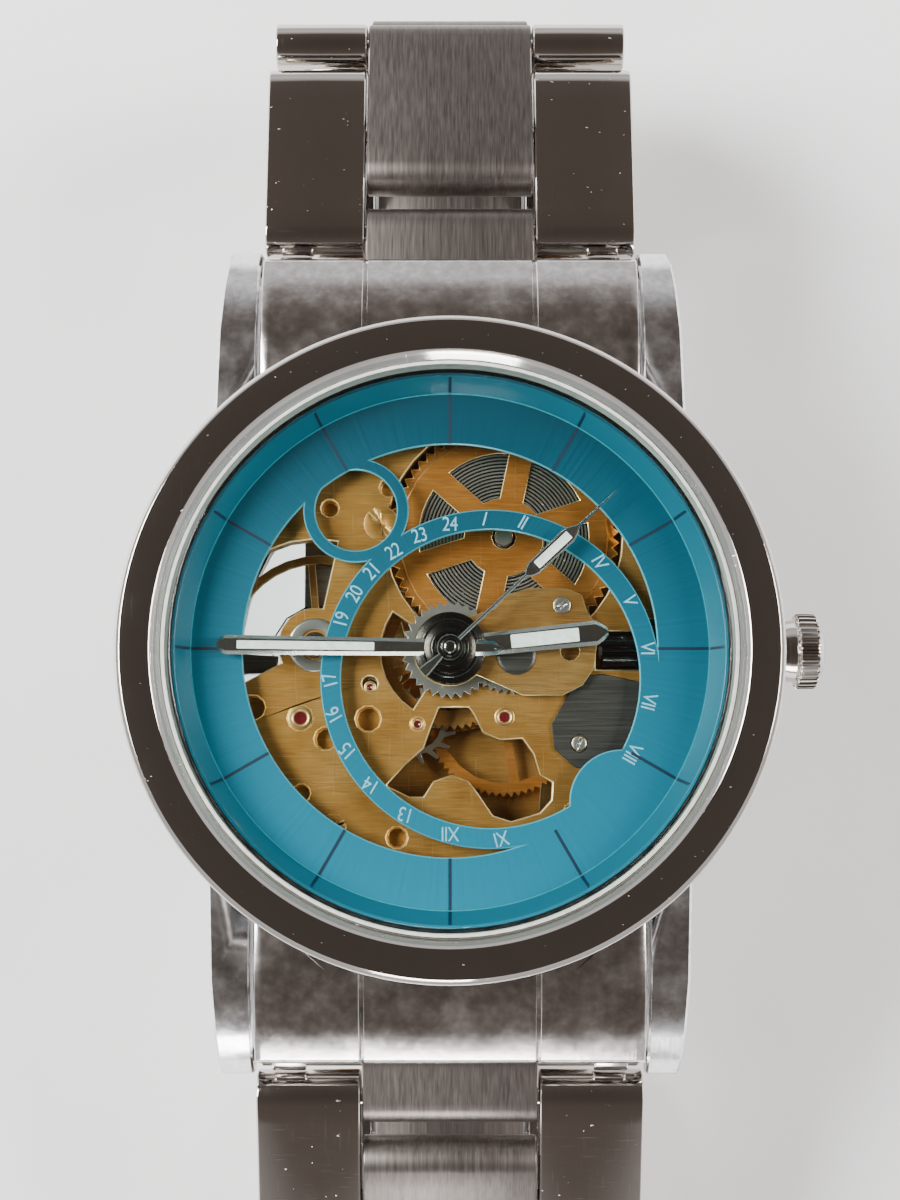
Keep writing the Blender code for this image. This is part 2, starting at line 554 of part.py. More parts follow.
put("winding_pinion", toothed_sleeve(18, 0.165, 11.15, 12.1), BLACKED, (0.0, 0.0, STEM_H))
put("sliding_pinion", toothed_sleeve(10, 0.165, 8.7, 10.7), BLACKED, (0.0, 0.0, STEM_H))
stem = along_x(turned([(0.0, 20.1), (0.48, 20.1), (0.48, 8.5), (0.0, 8.5)], 12, closed=False), 0.0, STEM_H)
put("winding_stem", stem, POLISHED, (0.0, 0.0, STEM_H))
put("crown_tube", along_x(turned([(0.6, 18.55), (1.0, 18.55), (1.0, 14.75), (0.6, 14.75)], 14), 0.0, STEM_H),
    POLISHED)
FLUTES = 18
flute_outline = []
for k in range(FLUTES):
    angle = 2.0 * math.pi * k / FLUTES
    step = 2.0 * math.pi / FLUTES
    for offset, radius in ((-0.30, 2.0), (-0.2, 2.16), (0.2, 2.16), (0.30, 2.0)):
        flute_outline.append((radius * math.cos(angle + offset * step), radius * math.sin(angle + offset * step)))
fluted = along_x(prism([flute_outline], 19.72, 20.9), 0.0, STEM_H)
crown_core = along_x(turned([(0.0, 21.45), (0.8, 21.4), (1.45, 21.15), (1.8, 20.75), (1.8, 19.2), (1.6, 18.72),
                             (0.0, 18.72)], 16, closed=False), 0.0, STEM_H)
crown_mesh = cut(united(fluted, crown_core), rod_x(0.55, 18.0, 20.3, 12, 0.0, STEM_H))
put("crown", crown_mesh, POLISHED, (0.0, 0.0, STEM_H))


# End links and spring bars, one of each at 12 and at 6 o'clock.
def mirrored(mesh, side):
    if side < 0:
        mesh.transform(Matrix.Rotation(math.pi, 4, "Z"))
    return mesh


def end_link(side):
    top = [(13.0, 6.9), (13.0, 2.0), (20.5, 2.0), (20.7, 4.4), (21.4, 4.85), (22.9, 4.62), (23.2, 4.85),
           (23.05, 5.2), (21.6, 5.95), (19.6, 6.6), (17.6, 6.9)]
    shell = side_prism([top], -10.95, 10.95)
    ear = arc(0.92, -150.0, 120.0, 8, BAR_Y, BAR_H) + [(20.3, 4.1), (20.3, 2.4)]
    ears = [side_prism([ear], left, left + 1.9) for left in (-10.1, 8.2)]
    bar_bore = rod_x(0.7, -12.0, 12.0, 12, BAR_Y, BAR_H)
    case_round = rod(CASE_R + 0.15, 0.0, 8.0, RING_STEPS)
    return mirrored(cut(united(shell, *ears), bar_bore, case_round), side)


def spring_bar(side):
    profile = [(0.0, 11.95), (0.4, 11.95), (0.4, 10.7), (0.64, 10.7), (0.64, -10.7), (0.4, -10.7),
               (0.4, -11.95), (0.0, -11.95)]
    mesh = along_x(turned(profile, 12, closed=False), BAR_Y, BAR_H)
    return mirrored(mesh, side)


for side, hour in ((1, "12"), (-1, "6")):
    put("end_link_" + hour, end_link(side), POLISHED)
    put("spring_bar_" + hour, spring_bar(side), POLISHED)


# Bracelet links. Local frame: X across, Y outward along the link, Z away from the wrist.
def capsule(near, far, half):
    return arc(half, 90.0, 270.0, 6, near + half, 0.0) + arc(half, -90.0, 90.0, 6, far - half, 0.0)


def outer_link(half_width):
    shape = capsule(-OUTER_NEAR, PITCH + OUTER_FAR, LINK_HALF_T)
    cheeks = [side_prism([shape], OUTER_IN_X, half_width), side_prism([shape], -half_width, -OUTER_IN_X)]
    pins = [rod_x(PIN_R, -6.0, 6.0, 10, y, 0.0) for y in (0.0, PITCH)]
    return united(cheeks[0], cheeks[1], *pins)


def centre_link(open_far):
    holes = [circle(PIN_BORE_R, 10, 0.0, 0.0)]
    if open_far:
        holes.append(circle(PIN_BORE_R, 10, PITCH, 0.0))
    shape = capsule(-CENTRE_NEAR, PITCH + CENTRE_FAR, LINK_HALF_T)
    return side_prism([shape] + holes, -CENTRE_HALF_W, CENTRE_HALF_W)


def first_link():
    shape = arc(1.18, 100.0, 255.0, 6, 0.0, 0.0) + arc(LINK_HALF_T, -90.0, 90.0, 6, FIRST_PITCH, 0.0)
    holes = [circle(0.72, 12, 0.0, 0.0), circle(PIN_BORE_R, 10, FIRST_PITCH, 0.0)]
    return side_prism([shape] + holes, -CENTRE_HALF_W, CENTRE_HALF_W)


for side, hour, tilts in ((1, "12", TILT_12), (-1, "6", TILT_6)):
    pivot = Vector((0.0, BAR_Y, HEAD_Z + BAR_H))
    for k, tilt in enumerate(tilts):
        lean = math.radians(tilt)
        if k == 0:
            link = first_link()
            label = "center_link_0_" + hour
            finish = BRUSHED
        elif k % 2 == 1:
            link = outer_link(OUTER_HALF_W[(k + 1) // 2])
            label = "outer_link_%d_%s" % ((k + 1) // 2, hour)
            finish = POLISHED
        else:
            last_free = k == 6 and side > 0
            link = centre_link(not last_free)
            label = "center_link_%d_%s" % (k // 2, hour)
            finish = BRUSHED
        made = put(label, link, finish, parent=root)
        made.location = (pivot.x, side * pivot.y, pivot.z)
        made.rotation_euler = (-lean, 0.0, 0.0 if side > 0 else math.pi)
        length = FIRST_PITCH if k == 0 else PITCH
        pivot = pivot + Vector((0.0, math.cos(lean), -math.sin(lean))) * length

# Clasp: cover, two folding blades, two push buttons.
cover_side = [(-17.9, 0.0), (20.6, 0.0), (20.9, 1.0), (-18.6, 1.0), (-18.75, 0.6)]
cover_plate = side_prism([cover_side], -9.0, 9.0)
wall_side = [(-18.7, 0.4), (20.2, 0.4), (20.2, 2.2), (19.2, 3.3), (-17.6, 3.3), (-18.75, 2.2)]
walls = [side_prism([wall_side], 8.2, 9.0), side_prism([wall_side], -9.0, -8.2)]
ear_side = [(18.0, 0.3), (23.6, 0.85)] + arc(1.15, -75.0, 100.0, 7, CLASP_END_Y, CLASP_END_Z)
ear_side += [(22.3, 1.9), (20.2, 0.95), (18.0, 0.9)]
ears = [side_prism([ear_side], 5.25, 7.2), side_prism([ear_side], -7.2, -5.25)]
cover_notch = block(-5.1, 5.1, 18.9, 22.0, -1.0, 1.3)
cover_bores = [cover_notch, rod_x(0.46, -9.6, 9.6, 10, HINGE_OUT_Y, HINGE_OUT_Z),
               rod_x(1.08, -10.0, 10.0, 12, 1.5, 2.05)]
clasp_cover = cut(united(cover_plate, *walls, *ears), *cover_bores)
put("clasp_cover", clasp_cover, POLISHED, (0.0, HINGE_OUT_Y, HINGE_OUT_Z), root)

blade_1_side = arc(0.55, 100.0, 260.0, 5, HINGE_OUT_Y, HINGE_OUT_Z)
blade_1_side += [(-17.4, 1.3), (19.6, 1.3), (19.6, 2.1), (-17.4, 2.1)]
blade_1 = side_prism([blade_1_side], -7.0, 7.0)
knuckle = side_prism([circle(0.85, 14, HINGE_IN_Y, HINGE_IN_Z)], -2.4, 2.4)
tongue = side_prism([[(19.2, 1.35), (20.2, 1.42), (21.55, 1.66), (21.0, 2.4), (19.2, 2.05)]], -2.3, 2.3)
cross_pin = rod_x(0.4, -8.8, 8.8, 10, HINGE_OUT_Y, HINGE_OUT_Z)
knuckle_bore = rod_x(0.46, -4.0, 4.0, 10, HINGE_IN_Y, HINGE_IN_Z)
blade_1 = cut(united(blade_1, knuckle, tongue, cross_pin), knuckle_bore)
put("clasp_blade_1", blade_1, POLISHED, (0.0, HINGE_IN_Y, HINGE_IN_Z), root)

blade_2_side = [(-21.3, 2.8), (20.6, 2.8), (20.6, 3.5), (-21.3, 3.5)]
blade_2 = side_prism([blade_2_side], -4.8, 4.8)
inner_pin = rod_x(0.4, -4.7, 4.7, 10, HINGE_IN_Y, HINGE_IN_Z)
loops = [side_prism([circle(0.85, 14, HINGE_IN_Y, HINGE_IN_Z)], left, left + 2.2) for left in (-4.75, 2.55)]
loop_webs = [side_prism([[(20.2, 2.85), (21.7, 2.5), (21.7, 3.2), (20.2, 3.45)]], left, left + 2.15)
             for left in (-4.72, 2.57)]
bar = side_prism([[(-22.0, 2.4), (-20.4, 2.4), (-20.2, 3.45), (-21.8, 3.45)]], -7.2, 7.2)
end_side = arc(1.1, 70.0, 290.0, 7, -CLASP_END_Y, CLASP_END_Z) + [(-21.6, 1.9), (-21.3, 3.2)]
end_ears = [side_prism([end_side], left, left + 1.9) for left in (-7.15, 5.25)]
end_pin = rod_x(0.5, -6.0, 6.0, 10, -CLASP_END_Y, CLASP_END_Z)
blade_2 = united(blade_2, inner_pin, *loops, *loop_webs, bar, *end_ears, end_pin)
put("clasp_blade_2", blade_2, POLISHED, (0.0, -CLASP_END_Y, CLASP_END_Z), root)

for label, side in (("push_button_right", 1), ("push_button_left", -1)):
    button = along_x(turned([(0.0, 9.9), (0.8, 9.9), (1.0, 9.7), (1.0, 7.6), (0.0, 7.6)], 12, closed=False),
                     0.0, 0.0)
    if side < 0:
        button.transform(Matrix.Rotation(math.pi, 4, "Z"))
    button.transform(Matrix.Translation((0.0, 1.5, 2.05)))
    put(label, button, POLISHED, (side * 8.6, 1.5, 2.05), root)

bpy.context.view_layer.update()
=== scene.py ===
import json
import math

import bmesh
import bpy
import numpy as np
from mathutils import Matrix, Vector

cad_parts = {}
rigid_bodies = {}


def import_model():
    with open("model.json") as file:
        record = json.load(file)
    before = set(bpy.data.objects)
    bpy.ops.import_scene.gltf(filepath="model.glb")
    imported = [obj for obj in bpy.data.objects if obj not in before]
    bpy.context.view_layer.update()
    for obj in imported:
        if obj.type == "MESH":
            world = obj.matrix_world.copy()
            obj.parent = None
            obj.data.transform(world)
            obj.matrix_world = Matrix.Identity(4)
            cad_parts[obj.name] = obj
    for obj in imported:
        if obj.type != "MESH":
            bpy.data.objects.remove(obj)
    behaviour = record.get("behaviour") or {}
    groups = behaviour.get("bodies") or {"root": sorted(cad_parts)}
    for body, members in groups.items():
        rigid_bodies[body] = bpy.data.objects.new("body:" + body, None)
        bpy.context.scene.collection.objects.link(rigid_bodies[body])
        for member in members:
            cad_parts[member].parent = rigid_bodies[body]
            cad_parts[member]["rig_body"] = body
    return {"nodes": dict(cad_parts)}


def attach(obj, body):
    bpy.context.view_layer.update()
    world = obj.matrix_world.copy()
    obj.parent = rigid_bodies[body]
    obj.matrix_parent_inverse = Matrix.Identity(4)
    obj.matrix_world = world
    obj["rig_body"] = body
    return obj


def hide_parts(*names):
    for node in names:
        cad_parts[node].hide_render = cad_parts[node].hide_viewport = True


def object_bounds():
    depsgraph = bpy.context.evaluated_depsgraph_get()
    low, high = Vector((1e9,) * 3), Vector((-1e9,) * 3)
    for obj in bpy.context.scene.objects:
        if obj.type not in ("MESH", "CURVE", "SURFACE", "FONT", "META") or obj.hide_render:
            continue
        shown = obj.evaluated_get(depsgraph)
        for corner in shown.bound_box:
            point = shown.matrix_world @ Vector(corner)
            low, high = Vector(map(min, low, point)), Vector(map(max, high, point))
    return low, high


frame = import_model()
nodes = frame["nodes"]
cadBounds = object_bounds()
print("frame loaded:", len(nodes), "nodes")

mm = 0.001
weld = 2e-7  # points nearer than this are one, m
headZ = 16.5  # height of the case back above the table, mm


# shader maths: a wire wraps a socket, and an operator on wires adds the Math node of that name
class Wire:
    def __init__(self, bench, socket):
        self.bench = bench
        self.socket = socket

    def maths(self, kind, first, second):
        return self.bench.node("ShaderNodeMath", {"operation": kind}, {0: first, 1: second})

    def __add__(self, other):
        return self.maths("ADD", self, other)

    def __radd__(self, other):
        return self.maths("ADD", other, self)

    def __sub__(self, other):
        return self.maths("SUBTRACT", self, other)

    def __rsub__(self, other):
        return self.maths("SUBTRACT", other, self)

    def __mul__(self, other):
        return self.maths("MULTIPLY", self, other)

    def __rmul__(self, other):
        return self.maths("MULTIPLY", other, self)

    def __pow__(self, other):
        return self.maths("POWER", self, other)

    def __rpow__(self, other):
        return self.maths("POWER", other, self)


# the node tree of a material or of the world; every node comes from its node method
class Bench:
    def __init__(self, owner):
        self.owner = owner
        owner.use_nodes = True
        self.tree = owner.node_tree
        self.tree.nodes.clear()

    # a node of a kind: settings first (a ramp's stops among them), then socket values or links; gives one output
    def node(self, kind, settings=None, values=None, out=0):
        made = self.tree.nodes.new(kind)
        for key, value in (settings or {}).items():
            if key == "stops":
                elements = made.color_ramp.elements
                while len(elements) < len(value):
                    elements.new(0.5)
                for element, (place, colour) in zip(elements, value):
                    element.position = place
                    element.color = (*colour, 1.0)
            else:
                setattr(made, key, value)
        for key, value in (values or {}).items():
            socket = made.inputs[key]
            if isinstance(value, Wire):
                self.tree.links.new(value.socket, socket)
            else:
                socket.default_value = (*value, 1.0) if socket.type == "RGBA" else value
        return None if out is None else Wire(self, made.outputs[out])

    # object coordinates, scaled, turned about the vertical
    def place(self, scale=(1.0, 1.0, 1.0), turn=0.0):
        here = self.node("ShaderNodeTexCoord", out="Object")
        return self.node("ShaderNodeMapping", None, {"Vector": here, "Scale": scale, "Rotation": (0.0, 0.0, turn)})

    # noise over object coordinates, grains per metre along each axis
    def noise(self, grains, detail=2.0, turn=0.0):
        scale = (grains, grains, grains) if isinstance(grains, float) else grains
        return self.node("ShaderNodeTexNoise", None, {"Vector": self.place(scale, turn), "Scale": 1.0,
                                                      "Detail": detail})

    def ramp(self, level, stops):
        return self.node("ShaderNodeValToRGB", {"stops": stops}, {"Fac": level})

    # first colour where share is 0, second where it is 1
    def blend(self, share, first, second):
        return self.node("ShaderNodeMix", {"data_type": "RGBA"}, {0: share, 6: first, 7: second}, 2)

    # 0 at low and below, 1 at high and beyond, straight between
    def clamped(self, level, low, high):
        return self.node("ShaderNodeMapRange", None, {"Value": level, "From Min": low, "From Max": high})

    # the vertical part of the surface's own direction: 1 on a flat that faces up
    def upward(self):
        return self.node("ShaderNodeSeparateXYZ", None, {0: self.node("ShaderNodeNewGeometry", out="Normal")}, "Z")

    def bump(self, height, strength, distance):
        return self.node("ShaderNodeBump", None, {"Height": height, "Strength": strength, "Distance": distance})

    def principled(self, **values):
        return self.node("ShaderNodeBsdfPrincipled", None, {key.replace("_", " "): v for key, v in values.items()})

    def closed(self, shader, output="ShaderNodeOutputMaterial"):
        self.node(output, None, {"Surface": shader}, None)
        return self.owner


def darker(tone, share):
    return tuple(share * c for c in tone)


def paler(tone, share):
    return tuple(min(1.0, share * c) for c in tone)


# polish: smudges darken and dull it a little, fine hairs both ways and a few nicks catch the light
def polishedSteel(name, tone=(0.62, 0.585, 0.55), rough=0.07):
    f = Bench(bpy.data.materials.new(name))
    nick = f.clamped(f.noise((2600.0, 6500.0, 1500.0), 1.0, 0.9), 0.765, 0.80)
    smudge = f.noise(260.0, 3.0)
    hairs = f.clamped(f.noise((9000.0, 500.0, 900.0), 3.0, 0.5), 0.62, 0.75)
    crossHairs = f.clamped(f.noise((500.0, 8000.0, 900.0), 3.0, 0.3), 0.64, 0.78)
    marks = hairs + crossHairs
    return f.closed(f.principled(
        Base_Color=f.blend(f.clamped(smudge, 0.35, 0.7), tone, darker(tone, 0.9)), Metallic=1.0,
        Roughness=rough + f.clamped(smudge, 0.4, 0.75) * 0.05 + marks * 0.05 + nick * 0.4,
        Normal=f.bump(marks * 0.25 + nick, 0.45, 0.000008)))


# old polish broken up into small dents: dent height is grain noise, stronger where the patch noise is high
def wornSteel(name, tone=(0.80, 0.80, 0.82), grain=2600.0, rough=0.16):
    f = Bench(bpy.data.materials.new(name))
    dents = f.noise(grain, 3.0)
    patch = f.noise(520.0)
    lines = f.noise((5000.0, 220.0, 900.0))
    dented = f.clamped(patch, 0.38, 0.62)
    colour = f.ramp(dents * 0.7 + patch * 0.3, [(0.3, darker(tone, 0.75)), (0.52, tone), (0.75, paler(tone, 1.4))])
    return f.closed(f.principled(
        Base_Color=colour, Metallic=1.0, Roughness=rough + dented * 0.07,
        Normal=f.bump(dents * (0.3 + dented * 0.7) + lines * 0.4, 0.5, 0.000012)))


# brushing: noise stretched forty times along the stroke, fine over coarse, under a slow cloud
def brushedSteel(name, tone=(0.40, 0.375, 0.355), alongY=True, rough=0.33):
    f = Bench(bpy.data.materials.new(name))
    lines = f.noise((11000.0, 260.0, 3000.0) if alongY else (260.0, 11000.0, 3000.0))
    bands = f.noise((3200.0, 90.0, 900.0) if alongY else (90.0, 3200.0, 900.0), 3.0)
    level = lines * 0.5 + bands * 0.35 + f.noise(180.0) * 0.15
    return f.closed(f.principled(
        Base_Color=f.ramp(level, [(0.25, darker(tone, 0.62)), (0.5, tone), (0.78, paler(tone, 1.45))]), Metallic=1.0,
        Roughness=rough + lines * 0.16, Normal=f.bump(lines, 0.5, 0.000006)))


# gilt brass: brushed, with pale scratches two ways; faces leaning about 30 to 60 degrees from flat, the cut edges, are
# painted a bright highlight colour
def gilt(name, tone=(0.36, 0.175, 0.045), turn=0.0, rough=0.4):
    f = Bench(bpy.data.materials.new(name))
    lines = f.noise((700.0, 17000.0, 900.0), 2.0, turn)
    scratch = f.noise((240.0, 9000.0, 300.0), 2.0, turn + 0.12)
    crossScratch = f.noise((6000.0, 300.0, 300.0), 2.0, turn + 0.5)
    cuts = f.clamped(scratch, 0.63, 0.70) + f.clamped(crossScratch, 0.66, 0.74) * 0.7
    deep = tuple(c * share for c, share in zip(tone, (0.72, 0.6, 0.5)))
    pale = tuple(min(1.0, c * share) for c, share in zip(tone, (1.6, 1.8, 2.4)))
    up = f.upward()
    # painted highlight: mask of faces leaning away from the dial, the cut edges, which take a bright gold in place of
    # the light they catch
    edge = f.clamped(up, 0.3, 0.45) * f.clamped(up, 0.97, 0.85)
    brushed = f.ramp(lines * 0.35 + f.noise(260.0, 3.0) * 0.65, [(0.32, deep), (0.52, tone), (0.85, pale)])
    return f.closed(f.principled(
        # bright gold (1.0, 0.74, 0.38) on the cut edges: painted highlight
        Base_Color=f.blend(edge, f.blend(cuts * 0.9, brushed, pale), (1.0, 0.74, 0.38)), Metallic=1.0,
        Roughness=rough + lines * 0.12 - cuts * 0.1, Normal=f.bump(lines + cuts * 0.5, 0.5, 0.000006)))


# dial lacquer: rays are noise of the angle about the centre; the darker top colour at 12 o'clock and the lighter glow
# at 6 are painted shade and painted light; the pale edge colour on sloped faces is a painted highlight
def tealLacquer(name, top=(0.0, 0.042, 0.072), glow=(0.0, 0.17, 0.275), edge=(0.10, 0.48, 0.60)):
    f = Bench(bpy.data.materials.new(name))
    angle = f.node("ShaderNodeTexGradient", {"gradient_type": "RADIAL"}, {"Vector": f.place()})
    ring = f.node("ShaderNodeCombineXYZ", None, {0: angle * 420.0})
    rays = f.node("ShaderNodeTexNoise", None, {"Vector": ring, "Scale": 1.0, "Detail": 2.0})
    # painted light: 0 at the top of the dial, 1 at the bottom, carrying the colour from the painted-shade top to the
    # painted-light glow
    fall = f.clamped(f.node("ShaderNodeSeparateXYZ", None, {0: f.place()}, "Y"), 0.014, -0.014)
    colour = f.ramp(rays * 0.2 + f.noise(70.0, 1.0) * 0.2 + fall * 0.6, [(0.2, top), (0.8, glow)])
    return f.closed(f.principled(
        # painted highlight: sloped faces take the pale edge colour
        Base_Color=f.blend(f.clamped(f.upward(), 0.80, 0.62), colour, edge), Metallic=0.25,
        Roughness=0.3 + rays * 0.12, Coat_Weight=0.5, Coat_Roughness=0.12, Normal=f.bump(rays, 0.15, 0.000004)))


# plain colour with a fine speck
def paint(name, tone, rough=0.5, metal=0.0):
    f = Bench(bpy.data.materials.new(name))
    speck = f.noise(2500.0, 3.0)
    return f.closed(f.principled(
        Base_Color=f.blend(f.clamped(speck, 0.35, 0.65), tone, darker(tone, 0.8)), Metallic=metal,
        Roughness=rough + speck * 0.1, Normal=f.bump(speck, 0.15, 0.000004)))


# clear sheet: mirror share = 0.03 + 0.97 (1 - cos)^5, the same on the way out as on the way in; the rest goes through
def clearGlass(name, tint=(0.93, 0.97, 0.96), strength=1.0):
    f = Bench(bpy.data.materials.new(name))
    smear = f.clamped(f.noise(140.0, 3.0), 0.5, 0.8)
    mirror = f.principled(Base_Color=(1.0, 1.0, 1.0), Metallic=1.0, Roughness=0.02 + smear * 0.04)
    lean = f.node("ShaderNodeLayerWeight", None, {"Blend": 0.5}, "Facing")
    through = f.node("ShaderNodeBsdfTransparent", None, {"Color": tint})
    shine = (lean ** 5.0 * 0.97 + 0.03) * strength
    return f.closed(f.node("ShaderNodeMixShader", None, {0: shine, 1: through, 2: mirror}))


finishes = {
    "steel": polishedSteel("polishedSteel"),
    "bladeSteel": polishedSteel("bladeSteel", (0.50, 0.47, 0.44), 0.16),
    "darkPolish": polishedSteel("handSteel", (0.36, 0.33, 0.31), 0.12),
    "brush": brushedSteel("brushedLinkSteel", (0.175, 0.157, 0.147), True, 0.3),
    "worn": wornSteel("wornCaseSteel"),
    "wornEnd": wornSteel("wornEndSteel", (0.70, 0.67, 0.655), 1900.0, 0.14),
    # near-black tone: painted reflection of the dark camera above, on the polished hubs
    "hub": polishedSteel("hubDarkReflection", (0.045, 0.038, 0.033), 0.24),
    "brushAcross": brushedSteel("brushedCoverSteel", (0.085, 0.078, 0.072), False, 0.35),
    "greySatin": brushedSteel("satinBack", (0.34, 0.33, 0.31), False, 0.3),
    "gilt": gilt("giltPlate"),
    "giltWheel": gilt("giltWheel", (0.38, 0.145, 0.03), 0.8, 0.4),
    "giltPale": gilt("giltPale", (0.46, 0.245, 0.075), 1.2, 0.33),
    "black": polishedSteel("blackenedSteel", (0.07, 0.065, 0.06), 0.2),
    "grey": polishedSteel("wheelSteel", (0.50, 0.47, 0.43), 0.3),
    # teal colours: painted shade at 12 o'clock, painted light at 6 o'clock, then the colour of sloped faces (on the
    # dial a painted highlight on its cut edges, on the rehaut the whole slope)
    "teal": tealLacquer("tealDial"),
    "tealRing": tealLacquer("tealRehaut", (0.0, 0.05, 0.085), (0.0, 0.16, 0.25), (0.0, 0.11, 0.17)),
    # pale ring colour: painted highlight along the edge where the dial meets its slope
    "seamHighlight": paint("paintedSeamHighlight", (0.02, 0.33, 0.42), 0.3, 0.4),
    "navy": paint("navyInk", (0.0, 0.012, 0.035), 0.4),
    "numeral": paint("paleInk", (0.20, 0.42, 0.55), 0.5),
    "lume": paint("lumePaste", (0.72, 0.73, 0.70), 0.6),
    "ruby": paint("rubyJewel", (0.09, 0.006, 0.008), 0.06),
    "gasket": paint("gasketNylon", (0.55, 0.56, 0.52), 0.4),
    "holder": paint("holderPlastic", (0.55, 0.55, 0.53), 0.45),
    "glass": clearGlass("crystalGlass"),
    "glassBack": clearGlass("backGlass", (0.95, 0.97, 0.97), 0.5),
}
print("finishes ready:", len(finishes))


# points (mm above the case back, moved up by lift) and faces as a merged mesh whose faces point outwards
def cleanObject(name, points, faces, lift=headZ):
    mesh = bpy.data.meshes.new(name)
    raised = (np.asarray(points, float).reshape(-1, 3) + (0.0, 0.0, lift)) * mm
    mesh.from_pydata(raised.tolist(), [], [list(map(int, face)) for face in faces])
    work = bmesh.new()
    work.from_mesh(mesh)
    bmesh.ops.remove_doubles(work, verts=work.verts, dist=weld)
    bmesh.ops.recalc_face_normals(work, faces=work.faces)
    work.to_mesh(mesh)
    work.free()
    made = bpy.data.objects.new(name, mesh)
    bpy.context.scene.collection.objects.link(made)
    return made


def shade(piece, smooth):
    piece.data.polygons.foreach_set("use_smooth", np.ones(len(piece.data.polygons), bool))
    piece.data.set_sharp_from_angle(angle=math.radians(smooth))


# the same, with a finish, riding on a body
def addPiece(name, points, faces, finish, body, smooth=35.0, lift=headZ):
    made = cleanObject(name, points, faces, lift)
    made.data.materials.append(finishes[finish])
    shade(made, smooth)
    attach(made, body)
    return made


# quads over a grid of points: each joins a point to its right and lower neighbours
def gridFaces(rows, columns, wrapRows, wrapColumns):
    r = np.arange(rows if wrapRows else rows - 1)
    c = np.arange(columns if wrapColumns else columns - 1)
    a, b = np.meshgrid(r, c, indexing="ij")
    down = (a + 1) % rows
    right = (b + 1) % columns
    quads = np.stack([a * columns + b, down * columns + b, down * columns + right, a * columns + right], -1)
    return quads.reshape(-1, 4)


# corners (x, y, radius): each becomes points on a parabola that leaves both its sides at the radius,
# or at 0.45 of a side where that is less
def rounded(corners, closed=True, steps=3):
    points = []
    count = len(corners)
    for k, (x, y, radius) in enumerate(corners):
        here = np.array((x, y), float)
        if radius <= 0 or (not closed and k in (0, count - 1)):
            points.append(here)
            continue
        before = np.array(corners[k - 1][:2], float) - here
        after = np.array(corners[(k + 1) % count][:2], float) - here
        cutIn = min(radius, 0.45 * np.linalg.norm(before), 0.45 * np.linalg.norm(after))
        first = here + before / np.linalg.norm(before) * cutIn
        last = here + after / np.linalg.norm(after) * cutIn
        for t in np.linspace(0.0, 1.0, steps + 1):
            points.append((1 - t) ** 2 * first + 2 * t * (1 - t) * here + t * t * last)
    return np.array(points)


# profile of radius and height carried round a vertical axis
def turnedPoints(profile, steps, x=0.0, y=0.0):
    angle = np.linspace(0.0, 2.0 * np.pi, steps, endpoint=False)
    radius = profile[:, 0][:, None]
    height = profile[:, 1][:, None]
    return np.stack([x + radius * np.cos(angle), y + radius * np.sin(angle), height + 0.0 * angle], -1)


def turnedPiece(name, corners, finish, body, steps=96, x=0.0, y=0.0, closed=True, smooth=35.0):
    profile = rounded(corners, closed)
    points = turnedPoints(profile, steps, x, y)
    return addPiece(name, points, gridFaces(len(profile), steps, closed, True), finish, body, smooth)


# several (points, faces) sets as one, each set's face numbers moved on by the points before it
def joined(pieces):
    allPoints, allFaces, start = [], [], 0
    for points, faces in pieces:
        flat = np.asarray(points, float).reshape(-1, 3)
        allPoints.append(flat)
        allFaces += [[int(v) + start for v in face] for face in faces]
        start += len(flat)
    return np.concatenate(allPoints), allFaces


def bodyOf(name):
    return nodes[name]["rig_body"]


# flats made whole again: faces within the given degrees of each other become one
def mergeFlats(work, degrees):
    bmesh.ops.dissolve_limit(work, angle_limit=math.radians(degrees), verts=work.verts, edges=work.edges)


# every edge sharper than sharp degrees is cut back by width mm
def cutEdges(work, width, sharp):
    keen = [e for e in work.edges if len(e.link_faces) == 2 and e.calc_face_angle(0.0) > math.radians(sharp)]
    bmesh.ops.bevel(work, geom=keen, offset=width * mm, segments=1, profile=0.5, affect="EDGES", clamp_overlap=False)


# a merged copy of a CAD node with its sharp edges cut back by edge mm
def dress(name, finish, edge=0.0, smooth=30.0):
    mesh = nodes[name].data.copy()
    work = bmesh.new()
    work.from_mesh(mesh)
    bmesh.ops.remove_doubles(work, verts=work.verts, dist=weld)
    bmesh.ops.recalc_face_normals(work, faces=work.faces)
    mergeFlats(work, 1.0)
    if edge > 0:
        cutEdges(work, edge, smooth)
        mergeFlats(work, 0.5)
    work.to_mesh(mesh)
    work.free()
    piece = bpy.data.objects.new(name + "Skin", mesh)
    bpy.context.scene.collection.objects.link(piece)
    mesh.materials.clear()
    mesh.materials.append(finishes[finish])
    shade(piece, smooth * 0.9)
    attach(piece, bodyOf(name))
    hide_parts(name)
    return piece


# case
bezel = {"outer": 18.5, "top": 10.2, "flatIn": 16.55, "lip": 16.0, "lipTop": 9.72}
bezelPiece = turnedPiece("bezelRing", [
    (bezel["flatIn"], bezel["top"], 0.04), (18.18, bezel["top"], 0.03), (bezel["outer"], 9.93, 0.08),
    (bezel["outer"], 8.05, 0.25), (18.15, 7.5, 0.1), (15.75, 7.5, 0.0), (15.75, 8.42, 0.0), (bezel["lip"], 8.42, 0.0),
    (bezel["lip"], bezel["lipTop"], 0.05)], "steel", "case", 160)
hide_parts("bezel")
crystal = {"radius": 15.72, "top": 10.32, "bottom": 8.52, "chamfer": 0.32}
crystalPiece = turnedPiece("crystalDisc", [
    (0.0, crystal["top"], 0), (crystal["radius"] - crystal["chamfer"], crystal["top"], 0.05),
    (crystal["radius"], crystal["top"] - crystal["chamfer"], 0.05), (crystal["radius"], crystal["bottom"], 0),
    (0.0, crystal["bottom"], 0)], "glass", "case", 128, closed=False)
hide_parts("crystal")
